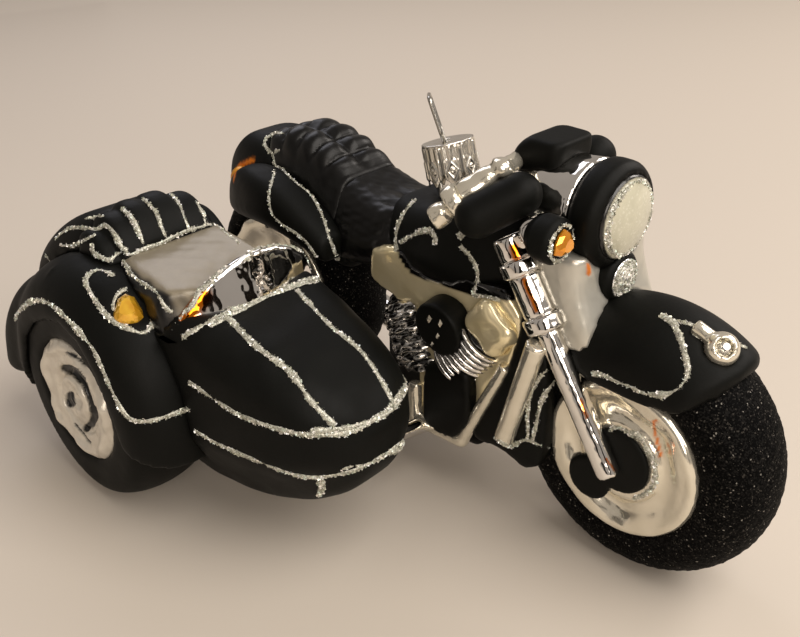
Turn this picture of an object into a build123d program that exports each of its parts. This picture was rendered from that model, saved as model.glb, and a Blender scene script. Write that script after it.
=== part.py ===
from build123d import *
import math
import os

os.makedirs("parts", exist_ok=True)

# A blown-glass hanging ornament in the form of a touring motorcycle with a sidecar.
# Millimetres. +X is ahead, +Y is the rider's left, +Z is up.
# The origin is on the floor, below the front wheel's middle, on the motorcycle's middle plane.

# Front wheel: tyre radius, half width, how far the tread falls to its shoulder, silver wheel
tyre_r = 25.15
tyre_half = 8.9
tyre_shoulder = 6.7
wheel_r = 15.2
wheel_face = 0.5
rim_width = 4.2
dish_depth = 1.3
axle_z = 25.0
hub_r = 8.0
rotor_r = 6.3
rotor_thick = 0.9
caliper_r = 4.4

# Rear wheel
rear_x = -97.0
rear_tyre_r = 24.15
rear_axle_z = 24.0
rear_half = 8.0
rear_wheel_r = 17.4

# Sidecar wheel
side_x = -89.2
side_y = -56.1
side_tyre_r = 22.75
side_axle_z = 22.6
side_half = 9.5
side_shoulder = 4.1
side_wheel_r = 12.8
side_wheel_face = -0.2

# Sidecar windscreen: a mirrored band, bowed ahead at its middle, that leans back
screen_x = -58.6
screen_r = 23.8
screen_y = -40.8
screen_half = 16.4
screen_base = 43.6
screen_top = 53.6
screen_thick = 1.8
screen_lean = 22.0

# Sidecar seat back: each roll's y, half its width and its top
roll_corner = 1.7
seat_rolls = [
    (-53.9, 2.4, 54.4),
    (-50.2, 2.6, 56.8),
    (-45.8, 2.8, 58.0),
    (-40.6, 3.2, 58.1),
    (-35.0, 3.2, 56.4),
    (-30.6, 2.3, 52.6),
]

# Front fender
fender_r = 27.9
fender_half = 10.6
fender_shoulder = 10.0
fender_rear = -17.0
fender_front = 16.5
fender_skirt = 38.6
fender_tip_z = 46.2
fender_nose_r = 12.3

# Fork: each leg runs from its foot beside the axle up and back to the bars
fork_y = 11.2
foot_x = -0.3
foot_z = 22.6
fork_top_x = -24.6
fork_top_z = 59.4
leg_r = 2.1
cover_r = 3.0
collar_r = 3.7

# Lever guard lobes ahead of the grips
guard_r = 3.8
guard_left = (0.0, 0.0, 1.2)

# Headlamp and the small lamp below it
lamp_x = -9.4
lamp_z = 65.6
lamp_r = 7.4
bezel_r = 9.4
bezel_long = 6.4
lens_bulge = 1.7
bucket_long = 14.0
bucket_end_r = 6.0
fog_z = 54.6
fog_r = 3.5
fog_cup_r = 4.6
fog_x = -8.6
fog_long = 7.0

# Turn signals beside the headlamp; the left one sits further back and lower than the right
signal_x = -12.8
signal_y = 13.4
signal_z = 64.3
signal_r = 4.0
signal_long = 6.0
signal_left = (-5.0, -1.2, -1.0)
gem_r = 2.4
gem_high = 1.5

# The left grip droops below the right one
grip_left = (-1.0, 0.8, -2.2)

# The left saddlebag sits lower and closer in than the right one
bag_left = (0.0, -1.5, -3.0)

# Engine: two finned cylinders in a vee
fin_r = 6.8
fin_thick = 0.8
fin_pitch = 1.5
fins = 8
barrel_r = 5.3
barrel_long = 14.5
cylinder_y = -8.4
cylinder_cut = 10.5
front_lean = 38.0
rear_lean = -24.0

# Neck, cap and hanger
neck_x = -48.6
neck_z = 60.4
neck_lean = 16.0
neck_r = 3.6
neck_bore = 2.9
neck_high = 7.0
pocket_deep = 5.0
cap_r = 5.1
cap_wall = 0.35
cap_high = 8.2
petals = 8
petal_deep = 2.4
wire_r = 0.4
wire_hole_r = 0.75
hole_span = 3.2
loop_high = 10.6
loop_wide = 8.4
leg_deep = 7.0
loop_turn = 45.0
loop_lean = 8.0


def mirrored(shape):
    """The same piece on the rider's other side."""
    return shape.mirror(Plane.XZ)


def both_sides(shape):
    """One node that holds the piece and its mirror image."""
    return Compound(children=[shape, mirrored(shape)])


def trapezoid(x, y, low, high, half_low, half_high, corner):
    """An upright section across the object at x, wider or narrower at its top, with round corners."""
    place = Plane(origin=(x, y, 0), x_dir=(0, 1, 0), z_dir=(1, 0, 0))
    outline = Polyline(
        (-half_low, low), (half_low, low), (half_high, high), (-half_high, high), close=True)
    return place * fillet(make_face(outline).vertices(), corner)


def swell(rows):
    """A smooth form through upright sections: x, y, low, high, half_low, half_high, corner."""
    return loft([trapezoid(*row) for row in rows])


def tyre(radius, half, shoulder, bore):
    """A balloon tyre about the Y axis, with an elliptical tread and a round bore."""
    tread = Pos(0, radius - shoulder / 2) * Rectangle(2 * half, shoulder)
    crown = Pos(0, radius - shoulder) * Ellipse(half, shoulder) & tread
    wall = Pos(0, (radius - shoulder + bore) / 2) * Rectangle(2 * half, radius - shoulder - bore)
    return turned(crown + wall)


def turned(profile):
    """A profile of across and outward sizes, revolved about the wheel's own axle line."""
    upright = Plane(origin=(0, 0, 0), x_dir=(0, 1, 0), z_dir=(1, 0, 0)) * profile
    return revolve(upright, Axis.Y)


def wheel(radius, half):
    """A silver wheel that fills a tyre, dished between its rim and its hub on both faces."""
    rim = radius - rim_width
    hub = hub_r
    edge = half + wheel_face
    outline = Polyline(
        (-half, radius), (-edge, radius - 1.6), (-edge, rim + 1.4), (-edge + dish_depth, rim - 0.6),
        (-edge + dish_depth, hub), (-edge + 0.4, hub - 1.0), (-edge + 0.4, 0),
        (edge - 0.4, 0), (edge - 0.4, hub - 1.0), (edge - dish_depth, hub),
        (edge - dish_depth, rim - 0.6), (edge, rim + 1.4), (edge, radius - 1.6), (half, radius), close=True)
    return turned(make_face(outline))


def rod(start, end, radius):
    """A straight round bar between two points."""
    way = Vector(*end) - Vector(*start)
    return Plane(origin=start, z_dir=way) * Cylinder(
        radius, way.length, align=(Align.CENTER, Align.CENTER, Align.MIN))


def forward(x, y, z, profile):
    """A profile of outward and along sizes, revolved about a line that points ahead."""
    place = Plane(origin=(x, y, z), x_dir=(0, 0, 1), z_dir=(0, 1, 0))
    return revolve(place * profile, Axis((x, y, z), (1, 0, 0)))


def side_prism(points, low_y, high_y):
    """A plate with an outline in the side view, from one y to another."""
    face = Plane.XZ * make_face(Polyline(*points, close=True))
    return extrude(face.moved(Location((0, high_y, 0))), amount=high_y - low_y)


def slab(points, low_y, high_y, edge):
    """A side outline made into a plate with rounded corners, seen from the side."""
    outline = fillet(make_face(Polyline(*points, close=True)).vertices(), edge)
    return extrude(Plane.XZ * outline, amount=-(high_y - low_y)).moved(Location((0, low_y, 0)))


def level(x_back, x_front, half, z, corner):
    """A flat section at height z with round corners."""
    middle = (x_back + x_front) / 2
    return Pos(middle, 0, z) * RectangleRounded(x_front - x_back, 2 * half, corner)


floor_cut = Pos(0, 0, -10) * Box(400, 400, 20)


def front_tyre():
    return Pos(0, 0, axle_z) * tyre(tyre_r, tyre_half, tyre_shoulder, wheel_r) - floor_cut


def front_wheel():
    return Pos(0, 0, axle_z) * wheel(wheel_r, tyre_half)


def brake_rotors():
    """A black disc on the wheel's hub with the caliper lobe behind the fork foot."""
    face = tyre_half + wheel_face - 0.4
    disc = Circle(rotor_r) + Pos(-5.5, -6.5) * Circle(caliper_r)
    right = Plane(origin=(0, -face, axle_z), x_dir=(1, 0, 0), z_dir=(0, -1, 0)) * disc
    return both_sides(extrude(right, amount=rotor_thick))


def front_fender():
    outer = Pos(0, 0, axle_z) * tyre(fender_r, fender_half, fender_shoulder, 8)
    side = [(fender_rear, 43), (-8, fender_skirt + 0.5), (1.5, fender_skirt), (9.8, 40.0),
            (14.2, 42.6), (fender_front, fender_tip_z), (fender_front + 0.4, 52), (12, 62), (fender_rear, 62)]
    nose_x = fender_front - fender_nose_r
    plan = Pos(nose_x, 0, 45) * Cylinder(fender_nose_r, 50) + Pos(nose_x - 20, 0, 45) * Box(40, 30, 50)
    return outer & side_prism(side, -20, 20) & plan


def fender_lamp():
    """The silver teardrop on the fender's crown near its tip."""
    bulb = Pos(12.1, -2.2, 49.9) * Sphere(2.8)
    tail = rod((11.4, -2.2, 50.6), (7.0, -2.5, 52.3), 1.2)
    return bulb + tail


def fender_stone():
    return rod((12.4, -2.6, 50.2), (13.7, -4.1, 51.9), 1.6)


def along_fork(share, side):
    """A point on a fork leg's line, from its foot at 0 to its top at 1."""
    x = foot_x + share * (fork_top_x - foot_x)
    z = foot_z + share * (fork_top_z - foot_z)
    return (x, side * fork_y, z)


def fork_piece(start, end, radius):
    return both_sides(rod(along_fork(start, -1), along_fork(end, -1), radius))


def fork_legs():
    return fork_piece(0, 0.64, leg_r)


def fork_collars():
    return Compound(children=[fork_piece(0.64, 0.70, collar_r), fork_piece(0.88, 0.94, collar_r)])


def fork_covers():
    return Compound(children=[fork_piece(0.70, 0.88, cover_r), fork_piece(0.94, 1.04, cover_r)])


def fork_panel():
    """The silver web that joins the legs under the headlamp, waisted between its ends."""
    return loft([
        level(-23.5, -11.0, 10.4, 60.0, 3.0),
        level(-21.5, -9.8, 10.8, 52.5, 3.0),
        level(-18.0, -7.0, 10.6, 46.0, 3.0),
        level(-14.0, -5.6, 10.0, 39.0, 3.0)])


def headlamp_bezel():
    back = -bezel_long
    ring = Polyline(
        (0, back), (bezel_r - 1.4, back), (bezel_r, back + 1.6), (bezel_r, -1.6),
        (bezel_r - 1.2, -0.2), (lamp_r, 0), (lamp_r, -1.2), (0, -1.2), close=True)
    return forward(lamp_x, 0, lamp_z, make_face(ring))


def dome(radius, back, bulge):
    """Half the section of a shallow dome that stands on a flat disc, its crown on the axis."""
    crown_r = (radius**2 + bulge**2) / (2 * bulge)
    turn = math.asin(radius / crown_r) / 2
    middle = (crown_r * math.sin(turn), bulge - crown_r * (1 - math.cos(turn)))
    rim = ThreePointArc((radius, 0), middle, (0, bulge))
    return make_face(rim + Polyline((0, bulge), (0, back), (radius, back), (radius, 0)))


def headlamp_lens():
    return forward(lamp_x, 0, lamp_z, dome(lamp_r, -1.2, lens_bulge))


def headlamp_bucket():
    front = -bezel_long
    cone = Polyline(
        (0, front), (bezel_r - 0.7, front), (bezel_r - 1.6, front - bucket_long * 0.6),
        (bucket_end_r, front - bucket_long), (0, front - bucket_long), close=True)
    return forward(lamp_x, 0, lamp_z, make_face(cone))


def fog_cup():
    cup = Polyline(
        (0, -fog_long), (fog_cup_r, -fog_long), (fog_cup_r, -0.8), (fog_r + 0.3, 0), (0, 0), close=True)
    return forward(fog_x, 0, fog_z, make_face(cup))


def fog_lens():
    return forward(fog_x, 0, fog_z, dome(fog_r, -0.6, 0.9))


def signal_pair(right):
    return Compound(children=[right, mirrored(right).moved(Location(signal_left))])


def signal_cups():
    cup = Polyline(
        (0, -signal_long), (signal_r - 1.6, -signal_long), (signal_r, -signal_long + 2.2), (signal_r, -0.8),
        (signal_r - 0.6, 0), (0, 0), close=True)
    return signal_pair(forward(signal_x, -signal_y, signal_z, make_face(cup)))


def signal_gems():
    gem = Polyline((0, 0), (gem_r, 0), (gem_r, 0.5), (gem_r * 0.55, gem_high), (0, gem_high), close=True)
    return signal_pair(forward(signal_x, -signal_y, signal_z, make_face(gem)))


def signal_stems():
    return signal_pair(rod((signal_x - signal_long, -signal_y, signal_z), (-21.5, -8.0, 62.5), 2.2))


def handlebar():
    """The bar from its middle out to the tapered silver grips."""
    knuckle = (-28.6, -10.4, 71.8)
    ring_start, ring_end, knob_end = (-33.0, -15.5, 66.6), (-34.3, -16.8, 65.2), (-36.4, -18.8, 62.9)
    inner = rod((-30.5, 0.5, 72.0), (-28.8, -7.5, 72.2), 1.5)
    bend = rod((-28.8, -7.5, 72.2), knuckle, 1.5)
    grip = Plane(origin=knuckle, z_dir=(-4.4, -5.1, -5.2)) * Cone(
        2.2, 1.9, 8.5, align=(Align.CENTER, Align.CENTER, Align.MIN))
    right = inner + bend + Pos(*knuckle) * Sphere(2.3) + grip
    right += rod(ring_start, ring_end, 2.5) + rod(ring_end, knob_end, 2.1)
    return right + mirrored(right).moved(Location(grip_left))


def lever_guards():
    """The black masses of lever and hand guard ahead of each grip."""
    outer, inner = (-28.8, -16.0, 65.0), (-24.0, -10.6, 68.8)
    right = rod(outer, inner, guard_r) + Pos(*outer) * Sphere(guard_r) + Pos(*inner) * Sphere(guard_r)
    return Compound(children=[right, mirrored(right).moved(Location(guard_left))])


def dash_console():
    return loft([
        level(-31.0, -21.5, 4.6, 70.0, 2.0),
        level(-30.6, -20.8, 5.4, 73.4, 2.0),
        level(-27.5, -20.6, 5.0, 76.6, 2.0)])


def fuel_tank():
    return swell([
        (-57.5, 0, 47.0, 57.6, 10.0, 7.5, 3.5),
        (-50.0, 0, 45.0, 58.4, 13.5, 10.0, 5.0),
        (-40.0, 0, 44.5, 61.0, 14.0, 10.5, 5.5),
        (-31.0, 0, 46.0, 62.6, 12.0, 9.0, 5.0),
        (-25.0, 0, 48.0, 61.0, 9.0, 7.0, 4.0)])


def tank_skirt():
    """The champagne mirror sheet below the tank that runs down in front of the engine to the floor plate."""
    side = [(-60.0, 40.0), (-60.0, 47.0), (-53.0, 50.0), (-24.5, 50.0), (-21.3, 46.0), (-20.8, 42.0),
            (-23.0, 35.0), (-27.0, 26.0), (-33.0, 15.5), (-40.0, 13.5), (-46.0, 16.0), (-46.0, 38.0)]
    return slab(side, -12.0, 12.0, 1.2)


def rider_seat():
    return swell([
        (-52.0, 0, 45.0, 55.0, 10.0, 6.4, 3.0),
        (-62.0, 0, 41.5, 54.4, 13.6, 7.8, 4.5),
        (-72.5, 0, 40.5, 56.8, 14.0, 7.4, 4.5)])


def passenger_seat():
    return swell([
        (-72.5, 0, 44.0, 57.0, 13.0, 7.0, 4.5),
        (-79.0, 0, 44.0, 60.7, 12.6, 6.6, 4.5),
        (-86.0, 0, 45.0, 62.6, 12.0, 6.4, 4.5),
        (-94.0, 0, 48.0, 61.9, 10.0, 6.4, 4.5),
        (-100.0, 0, 50.0, 57.6, 7.5, 6.0, 3.0)])


def rear_tyre():
    return Pos(rear_x, 0, rear_axle_z) * tyre(rear_tyre_r, rear_half, 5.0, rear_wheel_r) - floor_cut


def rear_wheel():
    return Pos(rear_x, 0, rear_axle_z) * wheel(rear_wheel_r, rear_half)


def rear_fender():
    return swell([
        (-117.2, 0, 40.0, 47.0, 4.0, 3.0, 2.0),
        (-113.8, 0, 38.5, 52.8, 7.5, 5.5, 4.0),
        (-107.0, 0, 39.5, 58.5, 10.0, 7.5, 5.0),
        (-98.0, 0, 41.0, 58.7, 11.0, 8.5, 5.0),
        (-84.0, 0, 40.0, 53.0, 11.5, 9.5, 4.5),
        (-70.0, 0, 38.0, 47.0, 11.0, 9.5, 3.5)])


def saddlebags():
    right = swell([
        (-105.5, -10.2, 43.0, 50.0, 3.2, 2.2, 1.8),
        (-100.0, -11.8, 43.5, 54.0, 4.6, 3.6, 3.0),
        (-91.0, -13.4, 45.2, 56.0, 5.4, 4.2, 3.2),
        (-78.0, -14.0, 45.0, 52.5, 5.0, 4.0, 2.5),
        (-69.0, -14.0, 42.5, 47.5, 3.5, 3.0, 1.8)])
    return Compound(children=[right, mirrored(right).moved(Location(bag_left))])


def tail_lamps():
    return both_sides(Pos(-105.2, -9.6, 49.6) * Sphere(2.5))


def engine_block():
    return slab([(-57, 14), (-57, 38), (-40, 38), (-40, 12), (-52, 12)], -10.5, 10.5, 2.0)


def cylinder(x, z, lean):
    """A finned cylinder and its twin: a stack of thin discs on a barrel, as far out as the silver sheet."""
    low = (Align.CENTER, Align.CENTER, Align.MIN)
    barrel = Cylinder(barrel_r, barrel_long, align=low)
    for fin in range(fins):
        barrel += Pos(0, 0, fin_pitch * (fin + 1)) * Cylinder(fin_r, fin_thick, align=low)
    outside = Pos(x, -cylinder_cut - 10, z + 10) * Box(60, 20, 60)
    return both_sides(Pos(x, cylinder_y, z) * Rot(0, lean, 0) * barrel & outside)


def front_cylinder():
    return cylinder(-38.5, 28.5, front_lean)


def rear_cylinder():
    return cylinder(-46.0, 25.0, rear_lean)


def air_cleaner():
    return rod((-38.4, -10.0, 39.2), (-38.4, -15.6, 38.4), 5.6)


def head_covers():
    """The rounded chrome box on each front cylinder's head."""
    box = fillet(Box(9.6, 11.2, 8.6).edges(), 2.0)
    return both_sides(Pos(-27.4, -8.9, 42.4) * Rot(0, front_lean, 0) * box)


def lower_block():
    side = [(-43.0, 15.5), (-42.5, 28.5), (-36.5, 31.0), (-31.4, 31.0), (-30.8, 20.0), (-34.0, 15.2),
            (-38.0, 13.8)]
    return slab(side, -14.5, 14.5, 1.5)


def exhausts():
    """The silver pipe that runs low on the right side, and its twin."""
    top, bottom, end = (-23.6, -12.2, 35.5), (-33.6, -12.8, 14.2), (-64.0, -13.0, 12.5)
    pipe = rod(top, bottom, 1.35) + Pos(*bottom) * Sphere(1.6) + rod(bottom, end, 1.6)
    return both_sides(pipe + rod((-46.6, -12.6, 22.0), (-46.2, -13.0, 13.2), 1.6))


def mufflers():
    return both_sides(rod((-64.0, -13.0, 12.5), (-108.0, -13.6, 18.0), 3.4))


def down_tubes():
    return both_sides(rod((-16.4, -13.3, 43.6), (-22.6, -13.3, 20.2), 1.8))


def leg_shields():
    side = [(-14.5, 38.0), (-16.5, 46.0), (-20.6, 50.0), (-21.0, 44.0), (-23.2, 35.5), (-27.2, 26.0),
            (-31.6, 17.6), (-30.2, 15.6), (-25.7, 16.5), (-21.5, 16.2), (-18.3, 15.0), (-15.2, 17.0),
            (-14.2, 22.0)]
    return both_sides(slab(side, -12.6, -5.0, 1.2))


def belly_pan():
    return slab([(-62, 10.0), (-62, 13.5), (-30, 13.5), (-33, 11.0), (-40, 10.0)], -9.5, 9.5, 0.8)


def belted(x, y, low, belt, high, half_low, half_belt, half_high, corner):
    """A boat's upright section: a narrow keel, widest at its belt line, with round corners."""
    place = Plane(origin=(x, y, 0), x_dir=(0, 1, 0), z_dir=(1, 0, 0))
    outline = Polyline(
        (-half_low, low), (half_low, low), (half_belt, belt), (half_high, high), (-half_high, high),
        (-half_belt, belt), close=True)
    return place * fillet(make_face(outline).vertices(), corner)


def sidecar_hull():
    rows = [
        (-29.6, -38.0, 25.5, 28.5, 31.5, 2.8, 4.1, 3.4, 2.0),
        (-31.4, -38.2, 21.5, 28.0, 35.0, 4.8, 8.2, 7.4, 4.5),
        (-35.5, -38.6, 16.8, 27.0, 38.8, 6.0, 12.0, 11.0, 6.0),
        (-43.0, -39.2, 12.0, 25.5, 42.8, 7.4, 15.0, 13.8, 8.0),
        (-56.0, -40.0, 9.0, 24.5, 46.3, 9.2, 17.2, 15.8, 7.5),
        (-62.0, -40.4, 9.0, 24.5, 47.4, 9.8, 17.4, 16.3, 6.5),
        (-74.0, -40.4, 9.0, 24.5, 46.6, 10.6, 17.7, 16.5, 7.5),
        (-94.0, -40.0, 9.5, 25.0, 46.0, 10.6, 17.4, 16.0, 8.0),
        (-110.0, -39.6, 13.5, 25.0, 41.0, 9.0, 15.0, 13.8, 7.5),
        (-119.0, -39.6, 19.5, 25.5, 34.0, 6.0, 11.0, 9.5, 4.0)]
    return loft([belted(*row) for row in rows])


def sidecar_trunk():
    return swell([
        (-90.0, -42.0, 40.0, 55.5, 16.0, 9.5, 6.5),
        (-97.0, -43.0, 38.0, 55.5, 17.0, 10.0, 7.0),
        (-107.0, -43.5, 32.0, 51.5, 17.5, 11.0, 7.0),
        (-115.0, -43.5, 29.0, 45.0, 16.0, 11.0, 6.5),
        (-120.0, -43.5, 29.0, 38.5, 12.5, 9.0, 4.0)])


def seat_back():
    """Six upholstered rolls side by side, highest at the middle of the row."""
    back = None
    for y, half, top in seat_rolls:
        roll = swell([
            (-84.5, y, 42.0, top - 5.4, half, half - 0.2, roll_corner),
            (-88.0, y, 42.0, top - 1.6, half, half - 0.2, roll_corner),
            (-92.0, y, 42.0, top, half, half - 0.3, roll_corner),
            (-95.5, y, 42.0, top - 0.9, half, half - 0.4, roll_corner)])
        back = roll if back is None else back + roll
    return back


def screen_drum(radius):
    """An upright drum about the windscreen's middle of curvature, leaning back with it."""
    drum = Pos(screen_x - screen_r, screen_y, screen_base) * Cylinder(radius, 60)
    return drum.rotate(Axis((screen_x, screen_y, screen_base), (0, 1, 0)), -screen_lean)


def tonneau_cover():
    cover = swell([
        (-60.0, -40.6, 40.0, 49.0, 16.0, 15.0, 3.0),
        (-74.0, -40.6, 40.0, 50.8, 16.0, 14.8, 3.5),
        (-85.0, -40.4, 40.0, 51.0, 16.0, 14.0, 4.0)])
    return cover & screen_drum(screen_r - screen_thick)


def windscreen():
    """The mirrored band across the sidecar's cowl."""
    base = screen_base - 3.0
    sill = Polyline(
        (-screen_half, screen_base), (-screen_half, base), (screen_half, base), (screen_half, screen_base))
    top = ThreePointArc((screen_half, screen_base), (0, screen_top), (-screen_half, screen_base))
    outline = Plane(origin=(screen_x, screen_y, 0), x_dir=(0, 1, 0), z_dir=(1, 0, 0)) * make_face(sill + top)
    arch = extrude(outline, amount=screen_r / 2, dir=(-1, 0, 0)).rotate(
        Axis((screen_x, screen_y, screen_base), (0, 1, 0)), -screen_lean)
    return (screen_drum(screen_r) - screen_drum(screen_r - screen_thick)) & arch


def sidecar_tyre():
    return Pos(side_x, side_y, side_axle_z) * tyre(
        side_tyre_r, side_half, side_shoulder, side_wheel_r) - floor_cut


def sidecar_wheel():
    edge = side_half + side_wheel_face
    outline = Polyline(
        (-edge + 0.4, side_wheel_r), (-edge, side_wheel_r - 1.2), (-edge, 7.8), (-edge + 1.0, 7.0),
        (-edge + 1.0, 5.6), (-edge, 4.6), (-edge, 2.4), (-edge + 1.2, 2.0), (-edge + 1.2, 0), (side_half, 0),
        (side_half, side_wheel_r), close=True)
    return Pos(side_x, side_y, side_axle_z) * turned(make_face(outline))


def sidecar_fender():
    outer = Pos(side_x, side_y, side_axle_z) * tyre(27.6, 10.4, 9.0, 6)
    tail = swell([
        (-121.4, -57.4, 15.5, 26.0, 7.6, 6.4, 3.5),
        (-118.0, -57.0, 15.5, 31.5, 9.2, 7.4, 4.0),
        (-113.5, -56.4, 17.5, 38.0, 10.0, 7.5, 5.0),
        (-106.0, -56.0, 21.0, 43.0, 10.3, 7.5, 6.0),
        (-96.0, -56.0, 38.0, 48.8, 10.2, 7.5, 5.0)])
    side = [(-124, 13), (-112.0, 15.0), (-109.0, 22.0), (-105.0, 31.0), (-100.0, 36.0), (-95.0, 38.8),
            (-88.5, 40.6), (-82.0, 39.0), (-77.0, 34.0), (-73.6, 27.0), (-71.5, 20.5), (-62.0, 16.5),
            (-55.0, 30.0), (-60.0, 60.0), (-124, 60.0)]
    return (outer + tail) & side_prism(side, -72, -40)


def marker_gem():
    way = Vector(14.2, -3.0, 23.4).normalized()
    seat = Vector(side_x + 14.0, -58.2, side_axle_z + 22.6)
    end = seat + way * 2.4
    return rod(tuple(seat), tuple(end), 3.0)


def struts():
    bars = [((-44.0, -23.0, 15.0), (-44.0, -9.0, 12.0)), ((-92.0, -23.5, 20.0), (-92.0, -8.0, 24.0))]
    return Compound(children=[rod(start, end, 1.6) for start, end in bars])


def neck_place():
    return Location((neck_x, 0, neck_z), (0, -neck_lean, 0))


def neck():
    tube = Cylinder(neck_r, neck_high, align=(Align.CENTER, Align.CENTER, Align.MIN))
    foot = Pos(0, 0, -2) * Cylinder(neck_r, 2, align=(Align.CENTER, Align.CENTER, Align.MIN))
    return neck_place() * (tube + foot)


def neck_hollow():
    return neck_place() * Pos(0, 0, -pocket_deep) * Cylinder(
        neck_bore, pocket_deep + neck_high + 1, align=(Align.CENTER, Align.CENTER, Align.MIN))


def cap():
    """The thin crown: a lid with two wire holes and a skirt cut into pointed petals."""
    low = neck_high - cap_high + cap_wall
    skirt = Pos(0, 0, low) * Cylinder(cap_r, cap_high, align=(Align.CENTER, Align.CENTER, Align.MIN))
    inside = Pos(0, 0, low) * Cylinder(
        cap_r - cap_wall, cap_high - cap_wall, align=(Align.CENTER, Align.CENTER, Align.MIN))
    crown = skirt - inside
    for petal in range(petals):
        notch = Plane.XZ * make_face(Polyline(
            (-1.7, low - 0.1), (1.7, low - 0.1), (0, low + petal_deep), close=True))
        crown -= Rot(0, 0, 360 * (petal + 0.5) / petals) * extrude(notch, amount=cap_r + 1)
    for side in (-1, 1):
        hole = Pos(0, side * hole_span / 2, neck_high) * Cylinder(wire_hole_r, 4)
        crown -= Rot(0, 0, loop_turn) * hole
    return neck_place() * crown


def hanger():
    """The wire: an open loop above the cap whose two legs drop through its holes into the neck."""
    top = neck_high + cap_wall
    half = hole_span / 2
    wide = loop_wide / 2
    path = FilletPolyline(
        (half, -leg_deep + top), (half, top + 1.2), (wide, top + 3.6), (wide, top + loop_high),
        (-wide, top + loop_high), (-wide, top + 3.6), (-half, top + 1.2), (-half, -leg_deep + top),
        radius=1.0)
    upright = Plane.YZ * path
    section = Plane(origin=(0, half, -leg_deep + top), z_dir=(0, 0, 1)) * Circle(wire_r)
    wire = sweep(section, path=upright)
    lean = Pos(0, 0, top) * Rot(0, -loop_lean, 0) * Pos(0, 0, -top)
    return neck_place() * Rot(0, 0, loop_turn) * lean * wire


NODES = [
    # name, maker
    ("cap", cap), ("hanger_wire", hanger), ("neck", neck),
    ("front_tyre", front_tyre), ("front_wheel", front_wheel), ("brake_rotors", brake_rotors),
    ("fender_stone", fender_stone), ("fender_lamp", fender_lamp), ("front_fender", front_fender),
    ("headlamp_lens", headlamp_lens), ("headlamp_bezel", headlamp_bezel),
    ("headlamp_bucket", headlamp_bucket),
    ("fog_lens", fog_lens), ("fog_cup", fog_cup),
    ("signal_gems", signal_gems), ("signal_cups", signal_cups),
    ("fork_legs", fork_legs),
    ("fork_collars", fork_collars), ("fork_covers", fork_covers),
    ("signal_stems", signal_stems), ("fork_panel", fork_panel),
    ("lever_guards", lever_guards), ("dash_console", dash_console), ("handlebar", handlebar),
    ("fuel_tank", fuel_tank), ("rider_seat", rider_seat), ("passenger_seat", passenger_seat),
    ("down_tubes", down_tubes), ("leg_shields", leg_shields),
    ("air_cleaner", air_cleaner), ("exhausts", exhausts), ("lower_block", lower_block),
    ("head_covers", head_covers), ("front_cylinder", front_cylinder), ("rear_cylinder", rear_cylinder),
    ("tank_skirt", tank_skirt),
    ("engine_block", engine_block), ("belly_pan", belly_pan),
    ("rear_tyre", rear_tyre), ("rear_wheel", rear_wheel), ("mufflers", mufflers),
    ("tail_lamps", tail_lamps), ("saddlebags", saddlebags), ("rear_fender", rear_fender),
    ("sidecar_tyre", sidecar_tyre), ("sidecar_wheel", sidecar_wheel), ("marker_gem", marker_gem),
    ("sidecar_fender", sidecar_fender), ("windscreen", windscreen), ("seat_back", seat_back),
    ("tonneau_cover", tonneau_cover), ("sidecar_trunk", sidecar_trunk), ("sidecar_hull", sidecar_hull),
    ("struts", struts),
]

# A form that comes later in the list is cut away where an earlier one stands, so the two meet face to face.
MOVING = ("cap", "hanger_wire")
fixed = []
for name, maker in NODES:
    shape = maker()
    box = shape.bounding_box(optimal=False)
    if name not in MOVING:
        for other, other_box in fixed:
            if box.overlaps(other_box):
                shape = shape - other
        if name in ("neck", "fuel_tank", "rider_seat"):
            shape = shape - neck_hollow()
        fixed.append((shape, shape.bounding_box(optimal=False)))
    export_step(shape, f"parts/{name}.step")
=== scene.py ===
import math

import bmesh
import bpy
import numpy as np
from mathutils import Euler, Matrix, Vector
from mathutils.bvhtree import BVHTree


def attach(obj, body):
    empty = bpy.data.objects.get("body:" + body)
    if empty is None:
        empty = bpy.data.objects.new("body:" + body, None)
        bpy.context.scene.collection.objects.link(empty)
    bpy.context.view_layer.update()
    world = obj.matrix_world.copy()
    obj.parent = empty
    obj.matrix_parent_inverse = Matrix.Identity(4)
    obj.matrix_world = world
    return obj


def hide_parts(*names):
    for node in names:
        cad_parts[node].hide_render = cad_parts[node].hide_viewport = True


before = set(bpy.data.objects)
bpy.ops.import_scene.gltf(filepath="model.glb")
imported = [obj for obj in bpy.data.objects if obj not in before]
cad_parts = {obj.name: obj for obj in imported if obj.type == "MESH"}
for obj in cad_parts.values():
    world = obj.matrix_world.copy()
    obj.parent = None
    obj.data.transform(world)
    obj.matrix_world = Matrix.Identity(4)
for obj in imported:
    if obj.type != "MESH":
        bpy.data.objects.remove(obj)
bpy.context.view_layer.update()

# A silvered, blown-glass hanging ornament: a touring motorcycle with a sidecar.
# Lengths in this script are millimetres until a mesh is written, and then metres.
MM = 0.001

# The photograph's camera, solved from the outlines of the two wheels that show
CAMERA_AZIMUTH = 45.455
CAMERA_PITCH = 29.231
CAMERA_ROLL = -0.493
CAMERA_AT = Vector((75.15, -136.91, 134.09))
PHOTO_WIDE, PHOTO_HIGH = 800, 637
FOCAL_PIXELS = 1011.23
SENSOR_MM = 36.0

scene = bpy.context.scene
facing = Euler((math.radians(90 - CAMERA_PITCH), 0, math.radians(CAMERA_AZIMUTH))).to_matrix()
facing = facing @ Matrix.Rotation(math.radians(CAMERA_ROLL), 3, "Z")
lens = bpy.data.cameras.new("camera")
lens.sensor_width = SENSOR_MM
lens.lens = FOCAL_PIXELS * SENSOR_MM / PHOTO_WIDE
lens.clip_start, lens.clip_end = 0.005, 20
camera = bpy.data.objects.new("camera", lens)
camera.matrix_world = Matrix.Translation(CAMERA_AT * MM) @ facing.to_4x4()
scene.collection.objects.link(camera)
scene.camera = camera
scene.view_settings.view_transform = "Standard"


# Finishes

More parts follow.
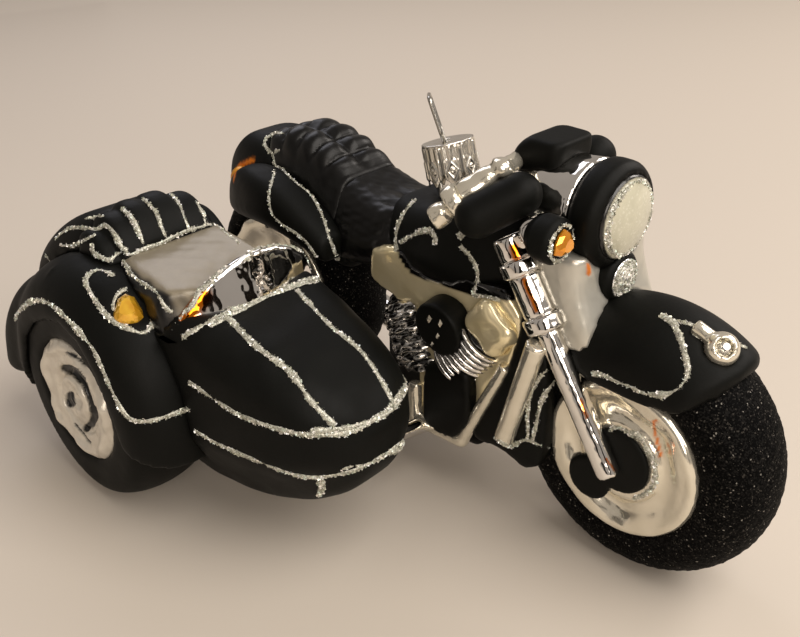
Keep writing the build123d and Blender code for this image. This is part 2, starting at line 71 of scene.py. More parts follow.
def linear(hex_colour):
    """An sRGB hex colour as the linear red, green, blue and alpha that a shader takes."""
    channels = [int(hex_colour[i:i + 2], 16) / 255 for i in (1, 3, 5)]
    return [c / 12.92 if c <= 0.04045 else ((c + 0.055) / 1.055) ** 2.4 for c in channels] + [1.0]


def in_use(sockets, name):
    """The socket of that name that its node's settings leave open."""
    return next(s for s in sockets if s.name == name and s.enabled)


def feed(tree, made, inputs):
    """Gives a node its inputs: each is a value, or (node, output name) for a link."""
    for key, value in inputs.items():
        socket = made.inputs[key] if isinstance(key, int) else in_use(made.inputs, key)
        if isinstance(value, tuple) and isinstance(value[0], bpy.types.Node):
            tree.links.new(in_use(value[0].outputs, value[1]), socket)
        else:
            socket.default_value = value


def node(tree, kind, inputs=None, **settings):
    """Adds a node with its settings and its inputs."""
    made = tree.nodes.new(kind)
    for name, value in settings.items():
        setattr(made, name, value)
    feed(tree, made, inputs or {})
    return made


def new_finish(name):
    """An empty material: its tree, its shader and the object's own coordinates."""
    finish = bpy.data.materials.new(name)
    finish.use_nodes = True
    tree = finish.node_tree
    tree.nodes.clear()
    shader = node(tree, "ShaderNodeBsdfPrincipled")
    node(tree, "ShaderNodeOutputMaterial", {"Surface": (shader, "BSDF")})
    place = node(tree, "ShaderNodeTexCoord")
    return finish, tree, shader, place


def per_mm(spacing):
    """The texture scale whose features are this many millimetres apart."""
    return 1.0 / (spacing * MM)


def noise_of(place, spacing, detail, grain=0.5):
    """The inputs of a noise whose features are this many millimetres apart."""
    return {"Vector": (place, "Object"), "Scale": per_mm(spacing), "Detail": detail, "Roughness": grain}


def lay_paint(tree, colour, shader, metallic):
    """Lays brushed colour over a finish, where a piece carries it: black paint in grooves and painted shade
    in the cap's folds, amber paint in streaks and painted reflections of amber.

    The black takes away the finish's own share of metal."""
    black = node(tree, "ShaderNodeAttribute", attribute_name="black")
    amber = node(tree, "ShaderNodeAttribute", attribute_name="amber")
    # Amber: lacquer on some pieces, a painted reflection of amber on the silvered fork and front wheel.
    warm = node(tree, "ShaderNodeMix", {
        "Factor": (amber, "Fac"), "A": (colour, "Result"), "B": linear("#e8801c")}, data_type="RGBA")
    # Black: paint, and painted shade in the cap's folds.
    dark = node(tree, "ShaderNodeMix", {
        "Factor": (black, "Fac"), "A": (warm, "Result"), "B": linear("#060505")}, data_type="RGBA")
    bare = node(tree, "ShaderNodeMapRange", {"Value": (black, "Fac"), "To Min": metallic, "To Max": 0.0})
    feed(tree, shader, {"Base Color": (dark, "Result"), "Metallic": (bare, "Result")})


def drifting(name, tones, noise, gloss=None, bump=None, tooth=None, paint=False, **values):
    """A finish whose colour drifts between two tones.

    noise and tooth are a spacing in millimetres, a detail and a grain. gloss is the roughness at both
    ends of the drift. bump is a strength and a depth in millimetres, of the tooth if there is one."""
    finish, tree, shader, place = new_finish(name)
    drift = node(tree, "ShaderNodeTexNoise", noise_of(place, *noise))
    colour = node(tree, "ShaderNodeMix", {
        "Factor": (drift, "Fac"), "A": linear(tones[0]), "B": linear(tones[1])}, data_type="RGBA")
    feed(tree, shader, {key.replace("_", " "): value for key, value in values.items()})
    if paint:
        lay_paint(tree, colour, shader, values.get("Metallic", 0.0))
    else:
        feed(tree, shader, {"Base Color": (colour, "Result")})
    if gloss:
        sheen = node(tree, "ShaderNodeMapRange", {
            "Value": (drift, "Fac"), "From Min": 0.3, "From Max": 0.7, "To Min": gloss[0],
            "To Max": gloss[1]})
        feed(tree, shader, {"Roughness": (sheen, "Result")})
    if bump:
        height = node(tree, "ShaderNodeTexNoise", noise_of(place, *tooth)) if tooth else drift
        relief = node(tree, "ShaderNodeBump", {
            "Strength": bump[0], "Distance": bump[1] * MM, "Height": (height, "Fac")})
        feed(tree, shader, {"Normal": (relief, "Normal")})
    return finish


def matte_enamel():
    """Brushed-on black enamel, dried matte: nearly no mirror, a fine dry tooth, an uneven sheen."""
    return drifting(
        "matte black enamel", ("#040403", "#0b0c09"), (9.0, 3.0, 0.6), gloss=(0.48, 0.62), bump=(0.5, 0.05),
        tooth=(0.55, 2.0, 0.7), paint=True, IOR=1.5, Specular_IOR_Level=0.13)


def gloss_enamel(name, gloss, mirror):
    """Poured black lacquer over glass: a clear mirror that sagged a little as it dried, wet or satin."""
    return drifting(
        name, ("#030303", "#090807"), (2.6, 1.5), gloss=gloss, bump=(0.5, 0.12), IOR=1.5,
        Specular_IOR_Level=mirror)


def mirror_glass(name, tones, rough, metallic=1.0):
    """Glass silvered inside: a bright mirror whose blown skin waves, so that reflections stretch."""
    return drifting(
        name, tones, (5.0, 2.0, 0.45), bump=(0.8, 0.5), paint=True, Metallic=metallic, Roughness=rough)


def satin_silver(name, tones, metallic):
    """Silver lacquer gone milky over glass: pale, satin, with a faint pearl mottle."""
    return drifting(
        name, tones, (2.2, 4.0, 0.6), bump=(0.4, 0.12), paint=True, Metallic=metallic, Roughness=0.32)


def foiled_stone(name, tones, rough, metallic=0.7):
    """A pressed glass stone with foil behind it: every facet is a coloured mirror."""
    return drifting(
        name, tones, (2.0, 1.0), Metallic=metallic, Roughness=rough, IOR=1.52, Coat_Weight=1.0,
        Coat_Roughness=0.02)


def amber_lacquer():
    """Transparent amber lacquer over silvering: deep orange with a warm gloss."""
    return drifting("amber lacquer", ("#b0660c", "#e9a52c"), (2.0, 2.0), Metallic=0.35, Roughness=0.3)


def drawn_metal(name, tones, rough, spacing):
    """Thin stamped or drawn metal: bright, with fine draw marks and small dents."""
    return drifting(
        name, tones, (spacing, 3.0, 0.6), bump=(0.4, 0.08), paint=True, Metallic=1.0, Roughness=rough)


def stepped_ramp(tree, share, stops, **settings):
    """A colour ramp over a node's output, through some stops of place and colour."""
    ramp = node(tree, "ShaderNodeValToRGB", {"Fac": share})
    ramp.color_ramp.elements[0].color = linear(stops[0][1])
    ramp.color_ramp.elements[1].position = stops[-1][0]
    ramp.color_ramp.elements[1].color = linear(stops[-1][1])
    for at, colour in stops[1:-1]:
        ramp.color_ramp.elements.new(at).color = linear(colour)
    return ramp


def tyre_grit():
    """Coarse black glitter rolled on wet paint: sharp dark grains, with a few grains painted pale as glints
    of light.
    """
    finish, tree, shader, place = new_finish("black glitter grit")
    grain = node(tree, "ShaderNodeTexVoronoi", {"Vector": (place, "Object"), "Scale": per_mm(0.24)})
    lump = node(tree, "ShaderNodeTexNoise", noise_of(place, 0.9, 3.0, 0.8))
    spark = node(tree, "ShaderNodeSeparateColor", {"Color": (grain, "Color")})
    # The palest stop paints a glint on a few grains.
    shades = stepped_ramp(tree, (spark, "Red"), [
        (0.0, "#010101"), (0.62, "#141312"), (0.93, "#35322e"), (0.992, "#807c75")])
    shades.color_ramp.interpolation = "CONSTANT"
    height = node(tree, "ShaderNodeMath", {0: (spark, "Green"), 1: (lump, "Fac")}, operation="ADD")
    bump = node(tree, "ShaderNodeBump", {
        "Strength": 1.0, "Distance": 0.14 * MM, "Height": (height, "Value")})
    feed(tree, shader, {
        "Base Color": (shades, "Color"), "Normal": (bump, "Normal"), "Roughness": 0.7, "IOR": 1.5,
        "Specular IOR Level": 0.06})
    return finish


def pearl_enamel():
    """Pearl-white lens paint: milky, soft gloss, with grains of clear glitter strewn in it whose sparkle is
    painted in as near-white glints.
    """
    finish, tree, shader, place = new_finish("pearl white enamel")
    milk = node(tree, "ShaderNodeTexNoise", noise_of(place, 3.0, 3.0, 0.55))
    fleck = node(tree, "ShaderNodeTexVoronoi", {"Vector": (place, "Object"), "Scale": per_mm(0.35)})
    pick = node(tree, "ShaderNodeSeparateColor", {"Color": (fleck, "Color")})
    # Painted glints: a few of the glitter's grains turn near-white.
    fleck_glint = node(tree, "ShaderNodeMapRange", {
        "Value": (pick, "Red"), "From Min": 0.86, "From Max": 0.9, "To Min": 0.0, "To Max": 0.14})
    base = node(tree, "ShaderNodeMix", {
        "Factor": (milk, "Fac"), "A": linear("#a9a692"), "B": linear("#c9c5b0")}, data_type="RGBA")
    colour = node(tree, "ShaderNodeMix", {
        "Factor": (fleck_glint, "Result"), "A": (base, "Result"), "B": linear("#f7f6ee")}, data_type="RGBA")
    lay_paint(tree, colour, shader, 0.0)
    bump = node(tree, "ShaderNodeBump", {
        "Strength": 0.5, "Distance": 0.05 * MM, "Height": (pick, "Green")})
    feed(tree, shader, {"Normal": (bump, "Normal"), "Roughness": 0.28, "IOR": 1.5, "Coat Weight": 0.4})
    return finish


def glitter_flake():
    """Cut polyester glitter: tiny flat mirrors at every angle, silver with a few white and dark ones."""
    finish, tree, shader, _ = new_finish("silver glitter flake")
    tint = node(tree, "ShaderNodeAttribute", attribute_name="tint")
    shades = stepped_ramp(tree, (tint, "Fac"), [
        (0.0, "#77766b"), (0.2, "#b5b5a6"), (0.4, "#cfd0bd"), (0.6, "#e9e2da"), (0.8, "#ffffff"),
        (1.0, "#dcebdc")])
    feed(tree, shader, {"Base Color": (shades, "Color"), "Metallic": 0.35, "Roughness": 0.3, "IOR": 1.5})
    return finish


def glue_bed():
    """The dried glitter glue under the flakes: grey-silver, grainy, half clear."""
    finish, tree, shader, place = new_finish("silver glitter glue")
    grain = node(tree, "ShaderNodeTexVoronoi", {"Vector": (place, "Object"), "Scale": per_mm(0.3)})
    pick = node(tree, "ShaderNodeSeparateColor", {"Color": (grain, "Color")})
    colour = node(tree, "ShaderNodeMix", {
        "Factor": (pick, "Red"), "A": linear("#8b8a7e"), "B": linear("#d2d1c4")}, data_type="RGBA")
    bump = node(tree, "ShaderNodeBump", {
        "Strength": 0.8, "Distance": 0.1 * MM, "Height": (pick, "Green")})
    feed(tree, shader, {
        "Base Color": (colour, "Result"), "Normal": (bump, "Normal"), "Metallic": 0.35, "Roughness": 0.35,
        "IOR": 1.5})
    return finish


FINISHES = {
    "black_enamel": matte_enamel(),
    "gloss_black": gloss_enamel("gloss black lacquer", (0.13, 0.22), 0.38),
    "glitter_tyre": tyre_grit(),
    "silver_glass": mirror_glass("silvered glass", ("#f3f1ee", "#dedad4"), 0.05),
    "gold_glass": mirror_glass("champagne silvered glass", ("#fdf0cd", "#e4d4a4"), 0.2, 0.6),
    "white_silver": satin_silver("satin white silver", ("#c9c1b3", "#e3ddd0"), 0.4),
    "pearl_lens": pearl_enamel(),
    "silver_glitter": glitter_flake(),
    "amber_gem": foiled_stone("amber foiled stone", ("#ffb52a", "#e07d05"), 0.06),
    "clear_gem": foiled_stone("clear foiled stone", ("#ffffff", "#d8d8d8"), 0.05),
    "amber_paint": amber_lacquer(),
    "cap_metal": drawn_metal("stamped silver cap", ("#f2eee6", "#d9d4ca"), 0.24, 1.2),
    "wire": drawn_metal("drawn steel wire", ("#c9c6bf", "#97948d"), 0.24, 0.8),
}
GLUE = glue_bed()
COVER_GREY = satin_silver("pearl grey enamel", ("#766d5d", "#877e6b"), 0.15)
SATIN_GLASS = mirror_glass("satin silvered glass", ("#efe9da", "#dcd5c2"), 0.16, 0.8)
MILKY_GLASS = mirror_glass("milky silvered glass", ("#cfccc2", "#b9b6ab"), 0.3, 0.6)
SATIN_BLACK = gloss_enamel("satin black lacquer", (0.3, 0.42), 0.28)
GOLD_STONE = foiled_stone("golden foiled stone", ("#ffd040", "#c87c06"), 0.1, 0.45)


# Shapes

def merged_copy(name):
    """A CAD node's faces in a new mesh, with its loose triangles joined."""
    form = bmesh.new()
    form.from_mesh(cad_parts[name].data)
    bmesh.ops.remove_doubles(form, verts=form.verts, dist=0.002 * MM)
    mesh = bpy.data.meshes.new("form")
    form.to_mesh(mesh)
    form.free()
    return mesh


def evaluated(mesh, *steps):
    """The mesh as the listed modifiers leave it."""
    holder = bpy.data.objects.new("holder", mesh)
    scene.collection.objects.link(holder)
    for kind, settings in steps:
        modifier = holder.modifiers.new(kind, kind)
        for name, value in settings.items():
            setattr(modifier, name, value)
    made = bpy.data.meshes.new_from_object(holder.evaluated_get(bpy.context.evaluated_depsgraph_get()))
    bpy.data.objects.remove(holder)
    return made


def points_of(mesh):
    points = np.empty(len(mesh.vertices) * 3, np.float32)
    mesh.vertices.foreach_get("co", points)
    return points.reshape(-1, 3).astype(float) / MM


def normals_of(mesh):
    normals = np.empty(len(mesh.vertices) * 3, np.float32)
    mesh.vertices.foreach_get("normal", normals)
    return normals.reshape(-1, 3).astype(float)


def set_points(mesh, points):
    mesh.vertices.foreach_set("co", (points * MM).astype(np.float32).ravel())
    mesh.update()


def blown(name, voxel, rounds, swell):
    """A CAD form as blown glass: an even skin with melted edges, swollen a little into its neighbours."""
    mesh = evaluated(
        merged_copy(name),
        ("REMESH", {"mode": "VOXEL", "voxel_size": voxel * MM, "use_smooth_shade": True}),
        ("SMOOTH", {"factor": 0.5, "iterations": rounds}))
    set_points(mesh, points_of(mesh) + normals_of(mesh) * swell)
    return mesh


def add_piece(name, mesh, slot, body="ornament", stands_for=(), finish=None):
    """A finished piece: smooth-shaded, in its finish, riding on its body."""
    mesh.materials.clear()
    mesh.materials.append(finish or FINISHES[slot])
    mesh.polygons.foreach_set("use_smooth", [True] * len(mesh.polygons))
    obj = bpy.data.objects.new(name, mesh)
    scene.collection.objects.link(obj)
    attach(obj, body)
    if stands_for:
        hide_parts(*stands_for)
    return obj


BLOWN_FORMS = [
    # piece, node, slot, voxel, smoothing rounds, swell
    ("front_tyre_grit", "front_tyre", "glitter_tyre", 0.7, 3, 0.0),
    ("rear_tyre_grit", "rear_tyre", "glitter_tyre", 0.9, 3, 0.0),
    ("sidecar_tyre_skin", "sidecar_tyre", "black_enamel", 0.9, 3, 0.0),
    ("front_wheel_dish", "front_wheel", "silver_glass", 0.5, 8, 0.1),
    ("rear_wheel_dish", "rear_wheel", "silver_glass", 0.8, 8, 0.1),
    ("brake_rotor_pair", "brake_rotors", "black_enamel", 0.4, 6, 0.1),
    ("front_fender_skin", "front_fender", "black_enamel", 0.7, 10, 0.2),
    ("fender_lamp_drop", "fender_lamp", "silver_glass", 0.25, 8, 0.1),
    ("headlamp_rim", "headlamp_bezel", "black_enamel", 0.45, 8, 0.1),
    ("headlamp_shell", "headlamp_bucket", "silver_glass", 0.5, 8, 0.2),
    ("headlamp_face", "headlamp_lens", "pearl_lens", 0.3, 6, 0.15),
    ("fog_lamp_cup", "fog_cup", "black_enamel", 0.3, 6, 0.1),
    ("fog_lamp_face", "fog_lens", "clear_gem", 0.25, 4, 0.1),
    ("signal_cup_pair", "signal_cups", "black_enamel", 0.3, 6, 0.1),
    ("signal_stem_pair", "signal_stems", "silver_glass", 0.3, 6, 0.2),
    ("fork_leg_pair", "fork_legs", "silver_glass", 0.4, 8, 0.15),
    ("fork_collar_pair", "fork_collars", "silver_glass", 0.3, 5, 0.15),
    ("fork_cover_pair", "fork_covers", "silver_glass", 0.36, 8, 0.15),
    ("fork_web", "fork_panel", "silver_glass", 0.55, 12, 0.3),
    ("lever_guard_pair", "lever_guards", "black_enamel", 0.5, 8, 0.1),
    ("dash_hood", "dash_console", "black_enamel", 0.4, 8, 0.2),
    ("bars_and_grips", "handlebar", "silver_glass", 0.35, 6, 0.1),
    ("tank_shell", "fuel_tank", "black_enamel", 0.7, 12, 0.3),
    ("tank_mirror_band", "tank_skirt", "gold_glass", 0.75, 8, 0.4),
    ("rider_seat_pad", "rider_seat", "gloss_black", 0.45, 10, 0.4),
    ("passenger_seat_pad", "passenger_seat", "gloss_black", 0.45, 10, 0.4),
    ("saddlebag_pair", "saddlebags", "black_enamel", 0.7, 12, 0.4),
    ("rear_fender_skin", "rear_fender", "black_enamel", 0.75, 8, 0.3),
    ("tail_lamp_pair", "tail_lamps", "amber_paint", 0.3, 6, 0.2),
    ("leg_shield_pair", "leg_shields", "black_enamel", 0.65, 10, 0.2),
    ("down_tube_pair", "down_tubes", "silver_glass", 0.4, 6, 0.2),
    ("air_cleaner_case", "air_cleaner", "black_enamel", 0.35, 6, 0.1),
    ("head_cover_pair", "head_covers", "silver_glass", 0.45, 10, 0.2),
    ("front_cylinder_fins", "front_cylinder", "silver_glass", 0.28, 2, 0.05),
    ("rear_cylinder_fins", "rear_cylinder", "silver_glass", 0.33, 2, 0.05),
    ("engine_core", "engine_block", "gloss_black", 0.9, 10, 0.3),
    ("crankcase_block", "lower_block", "black_enamel", 0.6, 8, 0.2),
    ("exhaust_pair", "exhausts", "silver_glass", 0.5, 6, 0.1),
    ("muffler_pair", "mufflers", "silver_glass", 0.7, 8, 0.1),
    ("belly_plate", "belly_pan", "black_enamel", 0.8, 10, 0.2),
    ("sidecar_hull_skin", "sidecar_hull", "black_enamel", 0.85, 8, 0.2),
    ("sidecar_trunk_skin", "sidecar_trunk", "black_enamel", 0.7, 14, 0.3),
    ("sidecar_fender_skin", "sidecar_fender", "black_enamel", 0.75, 7, 0.2),
    ("windscreen_mirror", "windscreen", "silver_glass", 0.4, 8, 0.2),
    ("tonneau_cloth", "tonneau_cover", "white_silver", 0.5, 12, 0.3),
    ("seat_back_rolls", "seat_back", "gloss_black", 0.5, 8, 0.3),
    ("sidecar_wheel_disc", "sidecar_wheel", "white_silver", 0.34, 4, 0.1),
    ("strut_pair", "struts", "silver_glass", 0.5, 4, 0.2),
    ("glass_neck", "neck", "silver_glass", 0.3, 3, 0.0),
    ("cap_crown", "cap", "cap_metal", 0.15, 2, 0.0),
]
# Pieces whose finish isn't the one that their slot starts with
OWN_FINISH = {
    "tonneau_cloth": COVER_GREY,
    "fork_web": MILKY_GLASS,
    "head_cover_pair": FINISHES["gold_glass"],
    "seat_back_rolls": FINISHES["black_enamel"],
    "passenger_seat_pad": SATIN_BLACK,
    "rider_seat_pad": SATIN_BLACK,
}
for name in ("bars_and_grips", "down_tube_pair", "exhaust_pair", "fender_lamp_drop", "front_wheel_dish",
             "rear_wheel_dish"):
    OWN_FINISH[name] = SATIN_GLASS

PIECES = {}
for name, source, slot, voxel, rounds, swell in BLOWN_FORMS:
    body = "cap" if source == "cap" else "ornament"
    PIECES[name] = add_piece(
        name, blown(source, voxel, rounds, swell), slot, body, (source,), OWN_FINISH.get(name))

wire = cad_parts["hanger_wire"].data
wire.materials.clear()
wire.materials.append(FINISHES["wire"])


# Relief worked into the skins. A factor before a ridge or a ripple is its height in millimetres.

def ripples(points, spacing, seed):
    """A smooth uneven swell of about unit height whose humps are this many millimetres apart."""
    draw = np.random.default_rng(seed)
    ways = draw.normal(size=(7, 3))
    ways *= 2 * math.pi / spacing / np.linalg.norm(ways, axis=1)[:, None]
    phases = draw.uniform(0, 2 * math.pi, 7)
    return np.sin(points @ ways.T + phases).sum(axis=1) / math.sqrt(7)


def ridge(distance, half_width):
    """1 on a line, falling smoothly to 0 beside it."""
    return np.exp(-(distance / half_width) ** 2)


def step_up(value, low, high):
    """0 at low and before it, 1 at high and past it, smooth between. high may be the smaller."""
    share = np.clip((value - low) / (high - low), 0, 1)
    return share * share * (3 - 2 * share)


def beside(points, path):
    """Each point's distance from the nearest place on a path."""
    gap = np.full(len(points), np.inf)
    for spot in np.asarray(path, float):
        gap = np.minimum(gap, np.linalg.norm(points - spot, axis=1))
    return gap


def carve(name, depth_of):
    """Works relief into a piece: its skin moves out along its normals by a rule of the point."""
    mesh = PIECES[name].data
    points, normals = points_of(mesh), normals_of(mesh)
    set_points(mesh, points + normals * depth_of(points, normals)[:, None])


def brush(name, colour, strength_of):
    """Brushes black or amber paint on a piece, by a rule of the point that gives 0 to 1."""
    mesh = PIECES[name].data
    strength = strength_of(points_of(mesh), normals_of(mesh))
    layer = mesh.attributes.new(colour, "FLOAT", "POINT")
    layer.data.foreach_set("value", np.clip(strength, 0, 1).astype(np.float32))


# The passenger seat's rolls turn about a line across the seat, which stands at this x and z
ROLL_AXIS_X, ROLL_AXIS_Z = -84.0, 44.0
ROLL_TURN = math.radians(17)
SEAT_MIDDLE_Y = -0.6
LEDGE_LOW_Z, LEDGE_RISE = 46.0, 3.2


def passenger_rolls(points, normals):
    """Soft crosswise rolls in two columns, wrapped about the passenger seat's middle."""
    x, y, z = points.T
    turn = np.arctan2(z - ROLL_AXIS_Z, x - ROLL_AXIS_X)
    roll = np.abs(np.sin(turn * math.pi / ROLL_TURN)) ** 0.6
    column = np.minimum(1, np.abs(y - SEAT_MIDDLE_Y) / 2.2) ** 0.6
    front = step_up(turn, math.radians(70), math.radians(45))
    ledge = np.abs(np.sin((z - LEDGE_LOW_Z) * math.pi / LEDGE_RISE)) ** 0.6
    over = step_up(z, 50.0, 54.0) * step_up(np.abs(y), 8.5, 6.0)
    pillow = (1.7 * roll * column - 1.0) * (1 - front) + (0.6 * ledge - 0.4) * front
    return pillow * over + 0.06 * ripples(points, 3.0, 3)


# The rider's seat: its pleats fan out from the glass neck, so many in half a round
PLEATS_X = -49.0
PLEATS_HALF_ROUND = 8


def rider_pleats(points, normals):
    """Pleats that fan out over the rider's seat from the neck, with a fine orange peel."""
    x, y, z = points.T
    out = np.hypot(x - PLEATS_X, y)
    turn = np.arctan2(y, PLEATS_X - x)
    fade = step_up(out, 4.5, 7.0) * step_up(-out, -17.0, -12.0) * step_up(normals[:, 2], 0.1, 0.5)
    pleat = np.abs(np.sin(turn * PLEATS_HALF_ROUND)) ** 0.7 - 0.6
    return pleat * fade + 0.05 * ripples(points, 1.5, 4)


def soft_folds(points, normals):
    """Shallow creases of a stretched cover, longer across the sidecar than along it."""
    return 0.13 * ripples(points * (1.0, 0.4, 0.6), 7.5, 9) + 0.04 * ripples(points, 3.0, 10)


# Across the ornament, where the cover's tuck starts and where it is full, and its depth
TUCK_FROM_Y, TUCK_FULL_Y, TUCK_DEPTH = -32.2, -29.6, 5.5


def tuck_cover():
    """The cover is tucked down beside the motorcycle, in line with the seat back's last roll."""
    mesh = PIECES["tonneau_cloth"].data
    points = points_of(mesh)
    points[:, 2] -= TUCK_DEPTH * step_up(points[:, 1], TUCK_FROM_Y, TUCK_FULL_Y)
    set_points(mesh, points)


# The windscreen: its middle, the height of its foot, and what blowing gave it past its solid
SCREEN_Y, SCREEN_BASE = -40.8, 43.6
SCREEN_RISE, SCREEN_SLOPE = 1.9, 0.13
INNER_STRETCH, OUTER_STRETCH = 1.11, 1.04


def raise_screen():
    """The mirrored band is blown wider and higher towards the motorcycle than its solid."""
    mesh = PIECES["windscreen_mirror"].data
    points = points_of(mesh)
    off = points[:, 1] - SCREEN_Y
    above_foot = step_up(points[:, 2], SCREEN_BASE - 1.5, SCREEN_BASE + 2.5)
    points[:, 2] += (SCREEN_RISE + SCREEN_SLOPE * off) * above_foot
    points[:, 1] = SCREEN_Y + np.where(off > 0, INNER_STRETCH, OUTER_STRETCH) * off
    sill = np.maximum(points[:, 2], SCREEN_BASE - 0.5)
    points[:, 2] += (sill - points[:, 2]) * step_up(-off, 10.0, 14.0)
    set_points(mesh, points)


# Outward of this the cover turns down to the fender
COVER_SIDE_Y = -46


def cover_side(points, normals):
    """The cover's outer side is black down to the fender."""
    return step_up(-normals[:, 1], 0.4, 0.65) * (points[:, 1] < COVER_SIDE_Y)


# The sidecar wheel: its middle, its outer face, its rim's radius and the pitch of its spiral
SIDE_WHEEL_X, SIDE_WHEEL_Z = -89.2, 22.6
SIDE_FACE_Y = -58.8
SIDE_RIM_R = 11.2
SPIRAL_PITCH = 3.4


def wheel_swirl(points, normals):
    """The wavy rim, the lobed boss and the spiral ridges of the sidecar's cast wheel."""
    across, up = points[:, 0] - SIDE_WHEEL_X, points[:, 2] - SIDE_WHEEL_Z
    radius, turn = np.hypot(across, up), np.arctan2(up, across)
    rim = ridge(radius - SIDE_RIM_R - 0.5 * np.sin(5 * turn + 0.6), 1.0) * (0.75 + 0.3 * np.sin(7 * turn))
    spiral = np.cos((radius - turn * 0.55) * 2 * math.pi / SPIRAL_PITCH) * step_up(-radius, -7.6, -6.4)
    relief = rim + 0.266 * spiral + 0.12 * ripples(points, 2.4, 12)
    return relief * (points[:, 1] < SIDE_FACE_Y)


# The front wheel: its middle's height, the radii of its rolled rim and of the lip round its rotor
FRONT_WHEEL_Z = 25.0
FRONT_RIM_R, FRONT_LIP_R = 14.2, 7.6


def blown_dish(points, normals):
    """The front wheel's silver dish: a rolled rim, a lip round the rotor and slow dents between."""
    radius = np.hypot(points[:, 0], points[:, 2] - FRONT_WHEEL_Z)
    outer = step_up(np.abs(points[:, 1]), 7.0, 8.2)
    lip = 0.45 * ridge(radius - FRONT_RIM_R, 0.7) + 0.5 * ridge(radius - FRONT_LIP_R, 0.8)
    dents = 0.5 * ripples(points, 8.5, 21) * ridge(radius - 11.0, 2.6)
    return (lip + dents) * outer


# The cap's own frame: on the neck, leaning back with it
NECK_AT = Vector((-48.6, 0, 60.4))
NECK_LEAN = math.radians(16)
CAP_LOW = -0.85
CAP_R = 5.1
PETALS = 8
PETAL_WIDE = 2 * math.pi / PETALS * CAP_R
DIAMOND_HIGH = 3.1


def on_petal(points):
    """How far off a petal's middle, above its tip and from the cap's axis the points are."""
    lean = np.array(Matrix.Rotation(NECK_LEAN, 3, "Y"))
    own = (points - np.array(NECK_AT)) @ lean.T
    turn, pitch = np.arctan2(own[:, 1], own[:, 0]), 2 * math.pi / PETALS
    across = (np.mod(turn + pitch / 2, pitch) - pitch / 2) * CAP_R
    return across, own[:, 2] - CAP_LOW, np.hypot(own[:, 0], own[:, 1])


def stamped_petals(points, normals):
    """Folds between the petals, short flutes below the lid, and a diamond pressed into each petal."""
    across, height, radius = on_petal(points)
    skirt = (radius > CAP_R - 0.6) * step_up(-height, -7.9, -7.4)
    from_fold = PETAL_WIDE / 2 - np.abs(across)
    fold = -0.4 * ridge(from_fold, 0.24)
    hem = 0.2 * ridge(from_fold - 0.6, 0.22) * step_up(-height, -5.6, -4.8)
    flutes = 0.09 * np.cos(across * 2 * math.pi / 1.3) * step_up(height, 4.9, 5.6)
    diamond = 0.24 * ridge(np.abs(across) + np.abs(height - DIAMOND_HIGH) / 1.6 - 1.0, 0.17)
    grain = 0.2 * ridge(np.hypot(across, height - DIAMOND_HIGH) - 0.3, 0.2)
    return (fold + hem + flutes + diamond + grain) * skirt


def cap_fold_shade(points, normals):
    """Painted shade down the folds between the petals and round each pressed diamond."""
    across, height, radius = on_petal(points)
    fold = ridge(PETAL_WIDE / 2 - np.abs(across), 0.22) * step_up(-height, -7.4, -6.6)
    round_diamond = 0.7 * ridge(np.abs(across) + np.abs(height - DIAMOND_HIGH) / 1.6 - 1.3, 0.12)
    return np.maximum(fold, round_diamond) * (radius > CAP_R - 0.6)


# The front cylinder: its foot, how far it stands off the middle, its lean and where its fins' edges start
CYLINDER_FOOT = (-38.5, 0, 28.5)
CYLINDER_OFF = 8.4
FRONT_LEAN = math.radians(38)
FIN_EDGE = 6.3


def fin_shade(points, normals):
    """Black between the front cylinder's silver fins."""
    along = np.array((math.sin(FRONT_LEAN), 0, math.cos(FRONT_LEAN)))
    side = np.abs(points[:, 1]) - CYLINDER_OFF
    flat = (points - CYLINDER_FOOT) * (1, 0, 1)
    rise = flat @ along
    radius = np.hypot(np.hypot(*(flat - rise[:, None] * along)[:, [0, 2]].T), side)
    return step_up(-radius, -FIN_EDGE - 0.15, -FIN_EDGE + 0.25)


# The right grip's ring, the way that the grip points, and how the left grip is offset from its mirror image
BAR_RING = np.array((-33.0, -15.5, 66.6))
BAR_WAY = np.array((-3.4, -3.3, -3.7)) / 6.01
LEFT_GRIP = np.array((-1.0, 0.8, -2.2))


def grip_rings(points, normals):
    """Each grip swells towards a broad ring, and a slimmer knob stands beyond it."""
    left = points[:, 1] > 0
    right_hand = np.where(left[:, None], (points - LEFT_GRIP) * (1, -1, 1), points)
    along = (right_hand - BAR_RING) @ BAR_WAY
    grip = 0.8 * step_up(along, -8.5, -1.0) * step_up(-along, 0.2, 0.9)
    neck = -0.4 * ridge(along + 7.6, 0.7) - 0.5 * ridge(along - 2.9, 0.5)
    ring = 1.1 * step_up(along, -0.5, 0.1) * step_up(-along, -2.4, -1.7)
    return grip + neck + ring + 0.08 * ripples(points, 3.0, 34)


# The lamps' middles and the radius of the lens's clear part
LAMP_MIDDLE = (-8.0, 0.0, 65.6)
FOG_MIDDLE = (-7.6, 0.0, 54.6)
SIGNAL_RIGHT = (-12.6, -13.4, 64.3)
SIGNAL_LEFT = (-17.6, 12.2, 63.3)
LENS_EDGE = 6.95


def lens_margin(points, normals):
    """The lens is black outside its ring of glitter."""
    out = np.hypot(points[:, 1] - LAMP_MIDDLE[1], points[:, 2] - LAMP_MIDDLE[2])
    return step_up(out, LENS_EDGE - 0.1, LENS_EDGE + 0.2)


# How much higher on the neck the cap shows than its solid
CAP_LIFT = 1.8


def lift_cap():
    """The cap sits a little proud of the neck's rim."""
    mesh = PIECES["cap_crown"].data
    set_points(mesh, points_of(mesh) + (0, 0, CAP_LIFT))


# Slow dents of blown glass: piece, depth, spacing and seed
DENTS = [
    ("front_tyre_grit", 0.07, 1.7, 23),
    ("rear_tyre_grit", 0.07, 1.9, 24),
    ("rear_wheel_dish", 0.35, 8.0, 22),
    ("rear_cylinder_fins", 0.22, 3.0, 30),
    ("tank_mirror_band", 0.3, 9.0, 31),
    ("sidecar_hull_skin", 0.06, 7.0, 32),
    ("head_cover_pair", 0.12, 3.0, 33),
]

